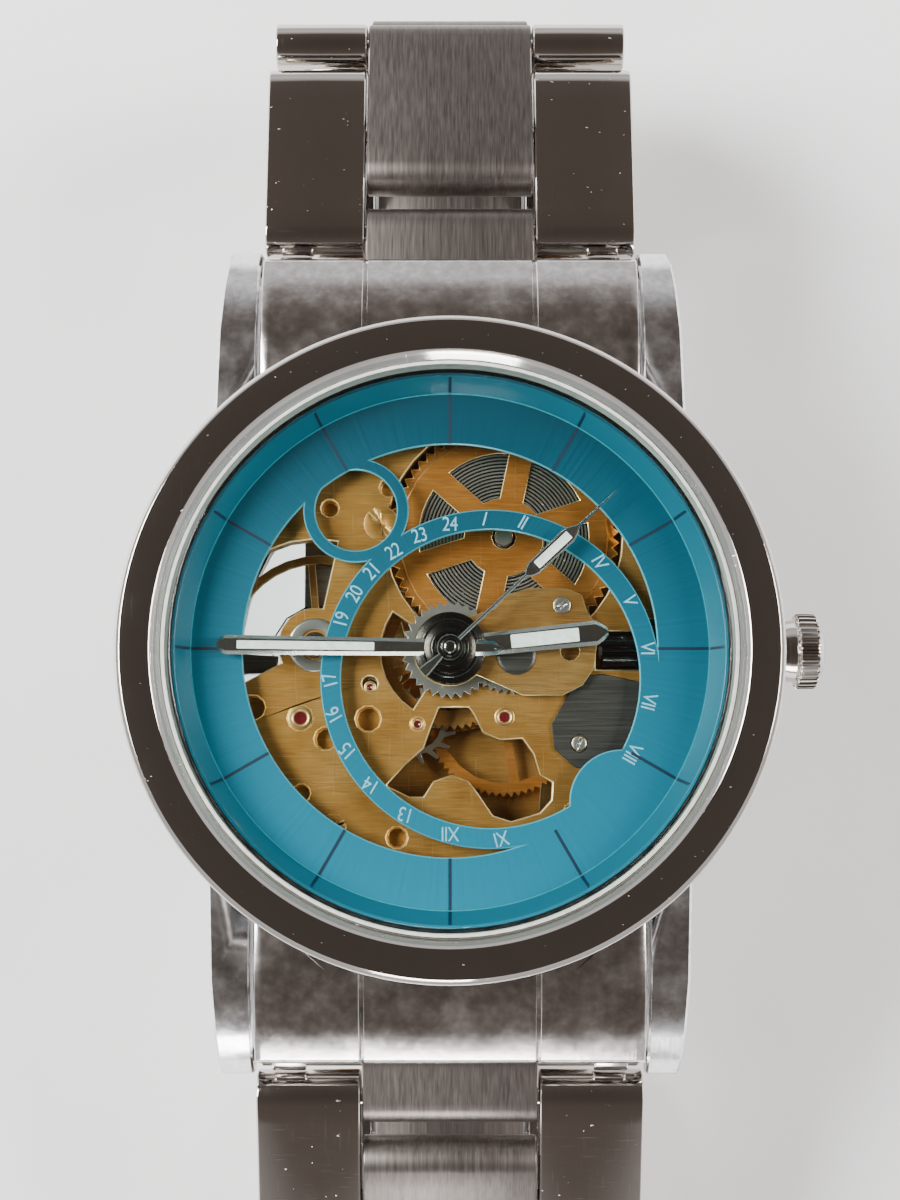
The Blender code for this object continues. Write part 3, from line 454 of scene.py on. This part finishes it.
turnedPiece("crystalGasket", [(15.76, 9.75, 0.03), (15.96, 9.75, 0.03), (15.96, 8.5, 0), (15.76, 8.5, 0)],
            "gasket", "case", 128)
rehautPiece = turnedPiece("rehautSlope", [(15.38, 8.42, 0.03), (15.54, 8.42, 0), (15.54, 7.12, 0), (14.66, 7.12, 0.0)],
                          "tealRing", "case", 160)
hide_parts("rehaut_ring")
dress("case_middle", "worn", 0.14)
dress("case_back", "steel", 0.1)
dress("case_back_glass", "glassBack")
dress("movement_holder", "holder")
dress("crown_tube", "steel")
print("case ready")

# crown: radius waves round the rim and fades out at both ends of the fluted band
crown = {"flutes": 32, "depth": 0.2, "height": 5.1, "bandLeft": 19.72, "bandRight": 20.93, "fade": 0.08,
         "profile": [(18.72, 1.2, 0.1), (18.72, 1.62, 0.1), (19.3, 1.75, 0.1), (19.7, 1.8, 0.05), (19.75, 2.0, 0.05),
                     (19.85, 2.16, 0.05), (20.35, 2.16, 0.0), (20.86, 2.14, 0.08), (20.95, 1.95, 0.05),
                     (21.0, 1.62, 0.1), (21.25, 1.35, 0.3), (21.45, 0.6, 0.3), (21.46, 0.0, 0.0)],
         "bore": [(18.72, 0.56), (20.3, 0.56), (20.3, 0.0)]}
along = rounded(crown["profile"], closed=False)
angle = np.linspace(0.0, 2.0 * np.pi, crown["flutes"] * 8, endpoint=False)
wave = np.clip(np.cos(angle * crown["flutes"]) * 1.6, -1.0, 1.0) * 0.5 - 0.5
bandDepth = np.minimum(along[:, 0] - crown["bandLeft"], crown["bandRight"] - along[:, 0]) / crown["fade"]
band = np.clip(bandDepth, 0.0, 1.0)
bore = np.array(crown["bore"])[::-1]
across = np.concatenate([bore[:, 0], along[:, 0]])[:, None] + 0.0 * angle
radius = along[:, 1][:, None] + crown["depth"] * band[:, None] * wave[None, :]
radius = np.concatenate([bore[:, 1][:, None] + 0.0 * angle, radius])
points = np.stack([across, radius * np.cos(angle), crown["height"] + radius * np.sin(angle)], -1)
crownPiece = addPiece("crownFluted", points, gridFaces(len(points), len(angle), False, True), "steel", "crown", 40)
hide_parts("crown")
dress("winding_stem", "steel")

# dial: one outline of rings, raised edges cut back; the lacquer paints their slopes pale, a painted highlight
dial = {"top": 7.05, "thick": 0.3, "outer": 15.2, "open": 11.7, "ringAt": (2.27, -1.64), "ringOut": 9.58,
        "ringIn": 8.42, "smallAt": (-5.35, 7.9), "smallOut": 3.0, "smallIn": 2.32, "padAt": (9.62, -8.62), "pad": 2.94}


# a ring with a square section, from inner to outer radius about a centre
def ringPoints(outer, inner, at, low, high, steps):
    profile = np.array([(inner, high), (outer, high), (outer, low), (inner, low)])
    return turnedPoints(profile, steps, *at), gridFaces(4, steps, True, True)


# base object united with the others, then all of them replaced by the result
def unite(name, base, others):
    for other in others:
        step = base.modifiers.new("join", "BOOLEAN")
        step.operation = "UNION"
        step.solver = "EXACT"
        step.object = other
    bpy.context.view_layer.update()
    graph = bpy.context.evaluated_depsgraph_get()
    mesh = bpy.data.meshes.new_from_object(base.evaluated_get(graph))
    for spare in [base] + others:
        bpy.data.objects.remove(spare, do_unlink=True)
    made = bpy.data.objects.new(name, mesh)
    bpy.context.scene.collection.objects.link(made)
    return made


low = dial["top"] - dial["thick"]
dialSteps = {"flat": 192, "scale": 160, "small": 80, "pad": 80}
base = cleanObject("dialFlat", *ringPoints(dial["outer"], dial["open"], (0, 0), low, dial["top"], dialSteps["flat"]))
others = [cleanObject("scaleRing", *ringPoints(dial["ringOut"], dial["ringIn"], dial["ringAt"], low, dial["top"],
                                               dialSteps["scale"])),
          cleanObject("smallRing", *ringPoints(dial["smallOut"], dial["smallIn"], dial["smallAt"], low, dial["top"],
                                               dialSteps["small"]))]
# the pad is drawn in to the flat's own edge, 0.1 mm inside it
padEdge = np.array([(0.0, dial["top"]), (dial["pad"], dial["top"]), (dial["pad"], low), (0.0, low)])
padPoints = turnedPoints(padEdge, dialSteps["pad"], *dial["padAt"])
flatPad = np.hypot(padPoints[..., 0], padPoints[..., 1])
shrink = np.minimum(1.0, (dial["outer"] - 0.1) / np.maximum(flatPad, 1e-6))
padPoints[..., :2] *= shrink[..., None]
others.append(cleanObject("dialPad", padPoints, gridFaces(4, dialSteps["pad"], False, True)))
# united in millimetres, so that small gaps survive
for piece in [base] + others:
    piece.data.transform(Matrix.Scale(1.0 / mm, 4))
dialPiece = unite("openDial", base, others)
dialPiece.data.transform(Matrix.Scale(mm, 4))
dialPiece.data.materials.clear()
dialPiece.data.materials.append(finishes["teal"])
work = bmesh.new()
work.from_mesh(dialPiece.data)
mergeFlats(work, 0.5)
cutEdges(work, 0.07, 50.0)
work.to_mesh(dialPiece.data)
work.free()
shade(dialPiece, 30.0)
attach(dialPiece, "case")
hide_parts("dial")

# a thin pale ring where the dial meets its slope: painted highlight along that edge
turnedPiece("dialSeamHighlight", [(14.6, 7.052, 0), (14.62, 7.075, 0), (14.68, 7.075, 0), (14.7, 7.052, 0)], "seamHighlight", "case", 160)

# printed hour lines, running across the flat and up the slope
hourLines = {"width": 0.17, "start": 11.74, "bend": 14.66, "end": 15.34, "raise": 0.012}
stations = np.array([(hourLines["start"], dial["top"]), (hourLines["bend"], dial["top"]),
                     (hourLines["bend"] + 0.02, 7.16), (hourLines["end"], 8.34)])
lineSets = []
for k in range(12):
    turn = math.radians(90.0 - 30.0 * k)
    out = np.array((math.cos(turn), math.sin(turn)))
    side = np.array((-out[1], out[0]))
    across = np.array((-0.5, 0.5)) * hourLines["width"]
    flat = stations[:, 0][:, None, None] * out + across[None, :, None] * side
    height = np.repeat(stations[:, 1][:, None], 2, 1) + hourLines["raise"]
    upper = np.concatenate([flat, height[..., None]], -1)
    lower = upper - (0, 0, hourLines["raise"] * 0.8)
    both = np.stack([upper[:, 0], upper[:, 1], lower[:, 1], lower[:, 0]], 1)
    lineSets.append((both, list(gridFaces(4, 4, False, True)) + [(0, 1, 2, 3), (12, 13, 14, 15)]))
addPiece("hourLines", *joined(lineSets), "navy", "case")


# second time scale: numbers stand on the ring's middle line, heads outward
def numberPieces():
    ringMiddle = (dial["ringOut"] + dial["ringIn"]) / 2.0
    centre = np.array(dial["ringAt"])
    words = {0: "24", 15: "I", 30: "II", 45: "III", 60: "IV", 75: "V", 90: "VI", 105: "VII", 120: "VIII",
             165: "XI", 180: "XII", 195: "13", 210: "14", 225: "15", 240: "16", 255: "17", 270: "18", 285: "19",
             300: "20", 315: "21", 330: "22", 345: "23"}
    sets = []
    for clock, word in words.items():
        turn = math.radians(clock)
        out = np.array((math.sin(turn), math.cos(turn)))
        dot = float(out @ centre)
        reach = dot + math.sqrt(dot * dot - float(centre @ centre) + ringMiddle ** 2)
        text = bpy.data.curves.new("number", "FONT")
        text.body = word
        text.size = 1.16
        text.space_character = 0.92
        text.align_x = "CENTER"
        text.align_y = "CENTER"
        text.extrude = 0.006
        text.resolution_u = 3
        holder = bpy.data.objects.new("number", text)
        bpy.context.scene.collection.objects.link(holder)
        bpy.context.view_layer.update()
        mesh = bpy.data.meshes.new_from_object(holder.evaluated_get(bpy.context.evaluated_depsgraph_get()))
        bpy.data.objects.remove(holder, do_unlink=True)
        spin = Matrix.Rotation(-turn, 4, "Z")
        mesh.transform(Matrix.Translation((out[0] * reach, out[1] * reach, dial["top"] + 0.004)) @ spin
                       @ Matrix.Diagonal((0.82, 1.0, 1.0, 1.0)))
        co = np.zeros(len(mesh.vertices) * 3)
        mesh.vertices.foreach_get("co", co)
        sets.append((co.reshape(-1, 3), [list(p.vertices) for p in mesh.polygons]))
        bpy.data.meshes.remove(mesh)
    return joined(sets)


addPiece("scaleNumbers", *numberPieces(), "numeral", "case")
print("dial ready")


# hands: a blade is a flat-topped bar with sloped sides, its half width given along its length
def bladePoints(widths, low, high, slope, clock):
    table = np.array(widths, float)
    half = table[:, 1]
    inner = np.maximum(half - slope, half * 0.25)
    y = table[:, 0]
    x = np.stack([-half, -inner, inner, half, half * 0.9, -half * 0.9], 1)
    z = np.stack([np.full_like(half, low + 0.06), np.full_like(half, high), np.full_like(half, high),
                  np.full_like(half, low + 0.06), np.full_like(half, low), np.full_like(half, low)], 1)
    points = np.stack([x, np.repeat(y[:, None], 6, 1), z], -1)
    turn = -math.radians(clock)
    spin = np.array([[math.cos(turn), -math.sin(turn), 0], [math.sin(turn), math.cos(turn), 0], [0, 0, 1]])
    count = len(table)
    faces = list(gridFaces(count, 6, False, True)) + [range(6), range((count - 1) * 6, count * 6)]
    return points @ spin.T, [list(face) for face in faces]


def lumePoints(start, end, half, low, high, clock):
    widths = [(start, half * 0.9), (start + 0.05, half), (end - 0.05, half), (end, half * 0.9)]
    return bladePoints(widths, low, high, 0.03, clock)


hands = {
    "hour": {"clock": 84.0, "low": 7.3, "high": 7.5, "hub": 2.05, "bore": 1.16, "body": "hours", "slope": 0.22,
             "widths": [(0.5, 0.5), (1.6, 0.64), (8.3, 0.7), (8.62, 0.5), (8.95, 0.22)], "lume": (3.45, 7.3, 0.38)},
    "minute": {"clock": 270.8, "low": 7.66, "high": 7.86, "hub": 1.5, "bore": 0.81, "body": "minutes", "slope": 0.2,
               "widths": [(-3.0, 0.04), (-2.45, 0.4), (-1.5, 0.44), (4.0, 0.5), (12.6, 0.55), (12.9, 0.4), (13.1, 0.2)],
               "lume": (4.25, 11.95, 0.23)},
    "second": {"clock": 46.6, "low": 8.0, "high": 8.12, "hub": 0.68, "bore": 0.16, "body": "seconds", "slope": 0.08,
               "widths": [(-2.1, 0.3), (-1.9, 0.32), (-0.5, 0.14), (0.4, 0.11), (5.9, 0.1), (6.15, 0.3), (6.45, 0.43),
                          (9.2, 0.45), (9.6, 0.32), (9.95, 0.1), (12.95, 0.035)], "lume": (6.7, 9.25, 0.25)},
}
for handName, hand in hands.items():
    blade = bladePoints(hand["widths"], hand["low"], hand["high"], hand["slope"], hand["clock"])
    hubTop = hand["high"] + (0.12 if handName != "second" else 0.2)
    profile = rounded([(hand["bore"], hubTop, 0.02), (hand["hub"] * 0.72, hubTop, 0.12),
                       (hand["hub"], hand["high"] - 0.02, 0.08), (hand["hub"], hand["low"], 0.0),
                       (hand["bore"], hand["low"], 0.0)])
    hub = (turnedPoints(profile, 72), gridFaces(len(profile), 72, True, True))
    made = addPiece(handName + "Blade", *blade, "bladeSteel", hand["body"], 28)
    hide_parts(handName + "_hand")
    # hubs take the near-black finish, a painted reflection
    addPiece(handName + "Hub", *hub, "hub", hand["body"], 28)
    start, end, half = hand["lume"]
    addPiece(handName + "Lume", *lumePoints(start, end, half, hand["high"] - 0.03, hand["high"] + 0.015, hand["clock"]),
             "lume", hand["body"])
turnedPiece("secondCap", [(0.0, 8.4, 0), (0.3, 8.38, 0.1), (0.42, 8.25, 0.05), (0.42, 8.15, 0), (0.0, 8.15, 0)],
            "darkPolish", "seconds", 40, closed=False)
turnedPiece("minuteCollar", [(0.83, 8.0, 0.03), (1.05, 7.99, 0.05), (1.1, 7.9, 0), (0.83, 7.9, 0)],
            "black", "minutes", 48)
turnedPiece("hourCollar", [(1.17, 7.64, 0.02), (1.62, 7.63, 0.05), (1.7, 7.56, 0), (1.17, 7.56, 0)],
            "black", "hours", 56)
print("hands ready")

# movement, carried over with welded points and cut edges
looks = {
    "main_plate": ("gilt", 0.07), "barrel": ("giltWheel", 0.04),
    "barrel_arbor": ("grey", 0.05), "ratchet_wheel": ("steel", 0.03), "crown_wheel": ("steel", 0.03),
    "center_wheel": ("giltPale", 0.0), "third_wheel": ("giltWheel", 0.0), "fourth_wheel": ("giltWheel", 0.02),
    "escape_wheel": ("grey", 0.01), "pallet_fork": ("steel", 0.01), "balance_wheel": ("giltPale", 0.04),
    "hairspring": ("black", 0.0), "balance_cock": ("greySatin", 0.05), "train_bridge": ("gilt", 0.06),
    "barrel_bridge": ("gilt", 0.06), "cannon_pinion": ("grey", 0.0), "minute_wheel": ("grey", 0.02),
    "hour_wheel": ("grey", 0.02), "motion_cover": ("giltPale", 0.03), "setting_cover": ("brushAcross", 0.04),
    "sliding_pinion": ("black", 0.03), "winding_pinion": ("black", 0.04),
}
for nodeName, (finish, edge) in looks.items():
    dress(nodeName, finish, edge)

# mainspring: a flat strip wound in a spiral, radius growing by one pitch a turn
spring = {"at": (3.1, 6.6), "start": 2.15, "pitch": 0.2, "turns": 15, "thick": 0.1, "low": 4.72, "high": 5.18}
sweep = np.linspace(0.0, 2.0 * np.pi * spring["turns"], 56 * spring["turns"])
reach = spring["start"] + spring["pitch"] * sweep / (2.0 * np.pi)
corner = np.array([(-0.5, spring["high"]), (0.5, spring["high"]), (0.5, spring["low"]), (-0.5, spring["low"])])
radius = reach[:, None] + corner[None, :, 0] * spring["thick"]
strip = np.stack([spring["at"][0] + radius * np.cos(sweep)[:, None], spring["at"][1] + radius * np.sin(sweep)[:, None],
                  np.repeat(corner[None, :, 1], len(sweep), 0)], -1)
lastCorner = len(sweep) * 4
stripFaces = list(gridFaces(len(sweep), 4, False, True)) + [range(4), range(lastCorner - 4, lastCorner)]
springPiece = addPiece("mainspringCoil", strip, stripFaces, "grey", bodyOf("mainspring"), 40)
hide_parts("mainspring")

# jewels, screws and hole rims on the plate's dial side
plateTop = 5.9
jewels = {"train": (3.1, -3.8, 0.5), "escape": (-1.85, -4.2, 0.34), "fork": (-4.55, -2.1, 0.3),
          "cup": (-8.5, -3.85, 0.62)}
for jewelName, (x, y, r) in jewels.items():
    turnedPiece(jewelName + "Setting", [(r * 0.62, plateTop, 0.0), (r * 0.8, plateTop + 0.07, 0.03),
                                        (r * 1.12, plateTop + 0.05, 0.03), (r * 1.2, plateTop - 0.1, 0.0),
                                        (r * 0.55, plateTop - 0.1, 0.0)], "giltPale", "case", 40, x, y)
    turnedPiece(jewelName + "Ruby", [(0.0, plateTop - 0.08, 0), (r * 0.2, plateTop - 0.06, 0.02),
                                     (r * 0.58, plateTop - 0.01, 0.05), (r * 0.58, plateTop - 0.3, 0),
                                     (0.0, plateTop - 0.3, 0)], "ruby", "case", 32, x, y, False)


# round head with a slot: height drops inside a band across the head
def screwPoints(x, y, r, top, slotTurn):
    ringsAt = np.array([0.0, 0.3, 0.6, 0.85, 0.97, 1.0, 1.0]) * r
    drop = np.array([0.0, 0.0, 0.0, 0.0, 0.02, 0.05, 0.3])
    turn = np.linspace(0.0, 2.0 * np.pi, 64, endpoint=False)
    px = ringsAt[:, None] * np.cos(turn)
    py = ringsAt[:, None] * np.sin(turn)
    across = px * math.sin(slotTurn) - py * math.cos(slotTurn)
    slot = np.clip((0.17 * r - np.abs(across)) / (0.03 * r), 0.0, 1.0) * 0.1
    slot[-1] = 0.0
    return np.stack([x + px, y + py, top - drop[:, None] - slot], -1), gridFaces(len(drop), len(turn), False, True)


# name, place, radius, top, turn of the slot, finish
screws = [("screwCoverOne", 6.35, 2.5, 0.5, 6.72, 0.6, "grey"),
          ("screwPlateOne", -3.95, 7.3, 1.0, plateTop + 0.12, -0.95, "gilt"),
          ("screwPlateTwo", 7.3, -5.3, 0.42, 6.22, 1.1, "grey"),
          ("screwPlateThree", -6.6, -10.0, 0.75, plateTop + 0.1, 0.4, "gilt")]
for screwName, x, y, r, top, slotTurn, finish in screws:
    points, faces = screwPoints(x, y, r, top, slotTurn)
    rings, steps = points.shape[:2]
    underside = list(range((rings - 1) * steps, rings * steps))
    addPiece(screwName, points, list(faces) + [underside], finish, "case", 25)

# dark post crossing the see-through gap behind the balance
postCorners = np.array([(-12.6, -1.25), (-10.1, -1.15), (-9.95, -0.2), (-12.6, -0.05)])
post = np.stack([np.concatenate([postCorners, np.full((4, 1), z)], 1) for z in (3.5, 4.4)])
addPiece("gapPost", post, list(gridFaces(2, 4, False, True)) + [[0, 1, 2, 3], [4, 5, 6, 7]], "brushAcross", "case", 30)

# balance bearing on the plate's tongue: steel cap with a pale jewel
turnedPiece("balanceSetting", [(0.9, plateTop + 0.1, 0.03), (1.45, plateTop + 0.1, 0.05), (1.55, plateTop + 0.02, 0.03),
                               (1.55, plateTop - 0.05, 0), (0.9, plateTop - 0.05, 0)], "grey", "case", 56, -7.7, 0.3)
turnedPiece("balanceJewel", [(0.0, plateTop + 0.06, 0), (0.5, plateTop + 0.05, 0.1), (0.86, plateTop - 0.02, 0.05),
                             (0.86, plateTop - 0.1, 0), (0.0, plateTop - 0.1, 0)],
            "steel", "case", 40, -7.7, 0.3, False)
turnedPiece("motionPost", [(0.0, 6.74, 0), (0.95, 6.72, 0.06), (1.1, 6.66, 0.03), (1.1, 6.61, 0), (0.0, 6.61, 0)],
            "brushAcross", "case", 48, 3.75, -0.35, False)
print("movement ready")


# bracelet: a link is a round-ended bar; its outline shrinks towards its two sides
def linkSkin(left, right, near, far, half, edge):
    turn = np.linspace(0.0, 0.5 * np.pi, 4)
    inset = edge * (1.0 - np.sin(turn))
    step = edge * (1.0 - np.cos(turn))
    xs = np.concatenate([left + step, (right - step)[::-1]])
    insets = np.concatenate([inset, inset[::-1]])
    arcAngle = np.linspace(0.5 * np.pi, 1.5 * np.pi, 13)
    nearArc = np.stack([np.cos(arcAngle), np.sin(arcAngle)], -1)
    farArc = -nearArc
    side = np.linspace(0.0, 1.0, 9)[1:-1]
    radius = half - insets
    rows = []
    for x, r in zip(xs, radius):
        a = nearArc * r + (near + half, 0.0)
        e = farArc * r + (far - half, 0.0)
        bottom = np.stack([near + half + (far - near - 2 * half) * side, np.full_like(side, -r)], -1)
        top = np.stack([far - half - (far - near - 2 * half) * side, np.full_like(side, r)], -1)
        loop = np.concatenate([a, bottom, e, top])
        rows.append(np.concatenate([np.full((len(loop), 1), x), loop], 1))
    points = np.array(rows)
    count = points.shape[1]
    faces = list(gridFaces(len(rows), count, False, True))
    faces += [list(range(count)), list(range((len(rows) - 1) * count, len(rows) * count))]
    return points, faces


# a plain pin: a circle drawn out from left to right
def barPoints(radius, left, right, y, z, steps=20):
    angle = np.linspace(0.0, 2.0 * np.pi, steps, endpoint=False)
    xs = np.array((left, right))
    points = np.stack([xs[:, None] + 0.0 * angle, y + radius * np.cos(angle) + 0.0 * xs[:, None],
                       z + radius * np.sin(angle) + 0.0 * xs[:, None]], -1)
    return points, list(gridFaces(2, steps, False, True)) + [list(range(steps)), list(range(steps, 2 * steps))]


# mm along a link from its near pin, half widths across, and each link's fall below the horizontal in degrees
bracelet = {"half": 1.4, "edge": 0.16, "first": 2.6, "firstHalf": 1.18, "firstEdge": 0.12, "pitch": 6.4,
            "outerNear": 1.6, "outerFar": 4.3, "outerIn": 5.1, "outerWide": (11.0, 10.7, 10.4),
            "centreNear": 4.0, "centreNearShort": 3.0, "centreFar": 1.4, "centreWide": 4.99, "claspSlim": 0.3,
            "pin": 0.5, "pinReach": 5.5, "barY": 22.9, "barZ": 19.6,
            "tilt": {"12": (8.0, 9.0, 14.0, 76.82, 121.919, 152.595, 179.292),
                     "6": (17.0, 20.0, 25.0, 61.498, 124.606, 166.866, 183.585)}}


# local link points (across, along, up) leaned by tilt below the horizontal at a pivot, on the 12 or 6 side
def placed(points, side, pivot, tilt):
    flat = np.asarray(points, float).reshape(-1, 3)
    lean = math.radians(tilt)
    y = flat[:, 1] * math.cos(lean) + flat[:, 2] * math.sin(lean)
    z = -flat[:, 1] * math.sin(lean) + flat[:, 2] * math.cos(lean)
    return np.stack([flat[:, 0] * side, side * (y + pivot[0]), z + pivot[1]], -1)


# links go down each side in turn: centre, then outer pair with two pins, each hung on the pin before it
for hour, side in (("12", 1), ("6", -1)):
    pivot = np.array((bracelet["barY"], bracelet["barZ"]))
    half, edge, pitch, wide = (bracelet[key] for key in ("half", "edge", "pitch", "centreWide"))
    for k, tilt in enumerate(bracelet["tilt"][hour]):
        step = pitch
        if k == 0:
            step = bracelet["first"]
            skins = [linkSkin(-wide, wide, -bracelet["firstHalf"], step + bracelet["centreFar"],
                              bracelet["firstHalf"], bracelet["firstEdge"])]
            label, finish = "center_link_0_" + hour, "brush"
        elif k % 2:
            outer = bracelet["outerWide"][k // 2]
            ends = (-bracelet["outerNear"], pitch + bracelet["outerFar"], half, edge)
            skins = [linkSkin(bracelet["outerIn"], outer, *ends), linkSkin(-outer, -bracelet["outerIn"], *ends)]
            skins += [barPoints(bracelet["pin"], -bracelet["pinReach"], bracelet["pinReach"], y, 0.0)
                      for y in (0.0, pitch)]
            label, finish = "outer_link_%d_%s" % (k // 2 + 1, hour), "steel"
        else:
            # one link is shorter, to stay behind its neighbour; the one at the clasp slimmer, to clear its notch
            near = -bracelet["centreNearShort"] if (k, side) == (4, 1) else -bracelet["centreNear"]
            slim = bracelet["claspSlim"] if k == 6 else 0.0
            skins = [linkSkin(slim / 3.0 - wide, wide - slim / 3.0, near, pitch + bracelet["centreFar"] - slim,
                              half - slim / 2.0, edge)]
            label, finish = "center_link_%d_%s" % (k // 2, hour), "brush"
        points, faces = joined(skins)
        made = addPiece(label + "_skin", placed(points, side, pivot, tilt), faces, finish, label, 28, lift=0.0)
        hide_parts(label)
        lean = math.radians(tilt)
        pivot = pivot + np.array((math.cos(lean), -math.sin(lean))) * step

# end links: a folded sheet with two grooves; the inner edge follows the round of the case
endLink = {"wide": 10.95, "groove": 4.95, "grooveWide": 0.16, "grooveDeep": 0.16, "caseRound": 18.3}
nearGroove = [s * (endLink["groove"] + o) for s in (-1, 1) for o in (-0.16, -0.08, 0.0, 0.08, 0.16)]
nearRim = [s * (endLink["wide"] - o) for s in (-1, 1) for o in (0.05, 0.12)]
even = np.linspace(-endLink["wide"], endLink["wide"], 41)
xs = np.unique(np.round(np.concatenate([even, nearGroove, nearRim]), 3))
groove = np.clip(1.0 - np.abs(np.abs(xs) - endLink["groove"]) / endLink["grooveWide"], 0.0, 1.0) * endLink["grooveDeep"]
groove += np.clip((np.abs(xs) - (endLink["wide"] - 0.12)) / 0.12, 0.0, 1.0) ** 2 * 0.1
outline = rounded([(17.6, 6.9, 0.4), (19.6, 6.6, 0.6), (21.6, 5.95, 0.6), (23.02, 5.22, 0.25), (23.22, 4.86, 0.15),
                   (22.9, 4.62, 0.1), (21.4, 4.85, 0.2), (20.7, 4.4, 0.1), (20.5, 2.0, 0.1)], closed=False, steps=4)
inner = np.sqrt(endLink["caseRound"] ** 2 - xs ** 2)
grid = np.zeros((len(xs), len(outline) + 2, 3))
grid[:, :, 0] = xs[:, None]
grid[:, 1:-1, 1] = outline[None, :, 0]
grid[:, 1:-1, 2] = outline[None, :, 1]
grid[:, 0, 1] = inner
grid[:, -1, 1] = inner
grid[:, 0, 2] = 6.9
grid[:, -1, 2] = 2.0
topSide = np.zeros(len(outline) + 2)
topSide[: len(outline) // 2 + 2] = 1.0
grid[:, :, 2] -= groove[:, None] * topSide[None, :]
grid[:, 1:-1, 1] = np.maximum(grid[:, 1:-1, 1], inner[:, None] + 0.02)
rows, columns = grid.shape[:2]
endFaces = list(gridFaces(rows, columns, False, True))
endFaces += [range(columns), range((rows - 1) * columns, rows * columns)]
for hour, side in (("12", 1), ("6", -1)):
    ears = [linkSkin(left, left + 1.9, 20.3, 23.8, 0.92, 0.1) for left in (-10.1, 8.2)]
    points, faces = joined([(grid, endFaces)] + ears)
    points[rows * columns:, 2] += 3.1
    points = points * (side, side, 1.0)
    made = addPiece("endLink" + hour, points, faces, "wornEnd", "case", 30)
    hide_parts("end_link_" + hour)
    dress("spring_bar_" + hour, "grey", 0.05)
print("bracelet ready")

# clasp
for nodeName, edge in (("clasp_cover", 0.03), ("clasp_blade_1", 0.0), ("clasp_blade_2", 0.0)):
    dress(nodeName, "steel", edge)
for nodeName in ("push_button_right", "push_button_left"):
    button = dress(nodeName, "steel", 0.08)
    co = np.zeros(len(button.data.vertices) * 3)
    button.data.vertices.foreach_get("co", co)
    co = co.reshape(-1, 3)
    # the inner end stops 0.15 mm short, so that a full press stays clear of the blade
    inner = np.abs(co[:, 0]) < 7.76 * mm
    co[inner, 0] = np.sign(co[inner, 0]) * np.maximum(np.abs(co[inner, 0]), 7.75 * mm)
    button.data.vertices.foreach_set("co", co.ravel())

# stage, camera, light
ground = cadBounds[0][2] - 0.0001  # just under the lowest link
floorMesh = bpy.data.meshes.new("floor")
floorCorners = [(-1.5, -1.5, ground), (1.5, -1.5, ground), (1.5, 1.5, ground), (-1.5, 1.5, ground)]
floorMesh.from_pydata(floorCorners, [], [(0, 1, 2, 3)])
floor = bpy.data.objects.new("floor", floorMesh)
bpy.context.scene.collection.objects.link(floor)
paper = Bench(bpy.data.materials.new("paperFloor"))
grain = paper.noise(40.0, 3.0)
paperColour = paper.ramp(grain, [(0.3, (0.70, 0.71, 0.72)), (0.7, (0.76, 0.77, 0.78))])
floorMesh.materials.append(paper.closed(paper.principled(Base_Color=paperColour, Roughness=0.7)))

view = {"target": (0.0, 0.0024, 0.0267), "away": 0.108, "tilt": 6.5, "lens": 58.95}
cameraData = bpy.data.cameras.new("camera")
camera = bpy.data.objects.new("camera", cameraData)
bpy.context.scene.collection.objects.link(camera)
tilt = math.radians(view["tilt"])
camera.location = Vector(view["target"]) + Vector((0.0, -math.sin(tilt), math.cos(tilt))) * view["away"]
camera.rotation_euler = (tilt, 0.0, 0.0)
cameraData.lens = view["lens"]
cameraData.sensor_width = 36.0
cameraData.clip_start = 0.005
bpy.context.scene.camera = camera

# room: dark overhead, pale all round below that; brightness follows the height of the direction looked in
room = Bench(bpy.data.worlds.new("room"))
heights = [(0.0, (0.72, 0.72, 0.72)), (0.38, (0.90, 0.90, 0.92)), (0.54, (0.55, 0.53, 0.53)),
           (0.64, (0.14, 0.115, 0.10)), (1.0, (0.085, 0.07, 0.06))]
direction = room.node("ShaderNodeTexCoord", out="Generated")
height = room.node("ShaderNodeSeparateXYZ", None, {0: direction}, "Z")
glow = room.node("ShaderNodeBackground", None, {"Color": room.ramp(height, heights)})
bpy.context.scene.world = room.closed(glow, "ShaderNodeOutputWorld")

lamps = {
    "windowLight": ((-0.46, 0.10, 0.46), 0.34, 14.0, (1.0, 0.99, 0.97)),
    "rightLight": ((0.50, 0.05, 0.42), 0.28, 6.5, (1.0, 0.95, 0.92)),
    "frontLight": ((-0.06, -0.66, 0.22), 0.22, 2.6, (1.0, 0.98, 0.96)),
}
for lampName, (place, size, power, tone) in lamps.items():
    lampData = bpy.data.lights.new(lampName, "AREA")
    lampData.size = size
    lampData.energy = power
    lampData.color = tone
    lamp = bpy.data.objects.new(lampName, lampData)
    bpy.context.scene.collection.objects.link(lamp)
    lamp.location = place
    lamp.rotation_euler = (Vector((0.0, 0.0, 0.02)) - Vector(place)).to_track_quat("-Z", "Y").to_euler()
print("stage ready")
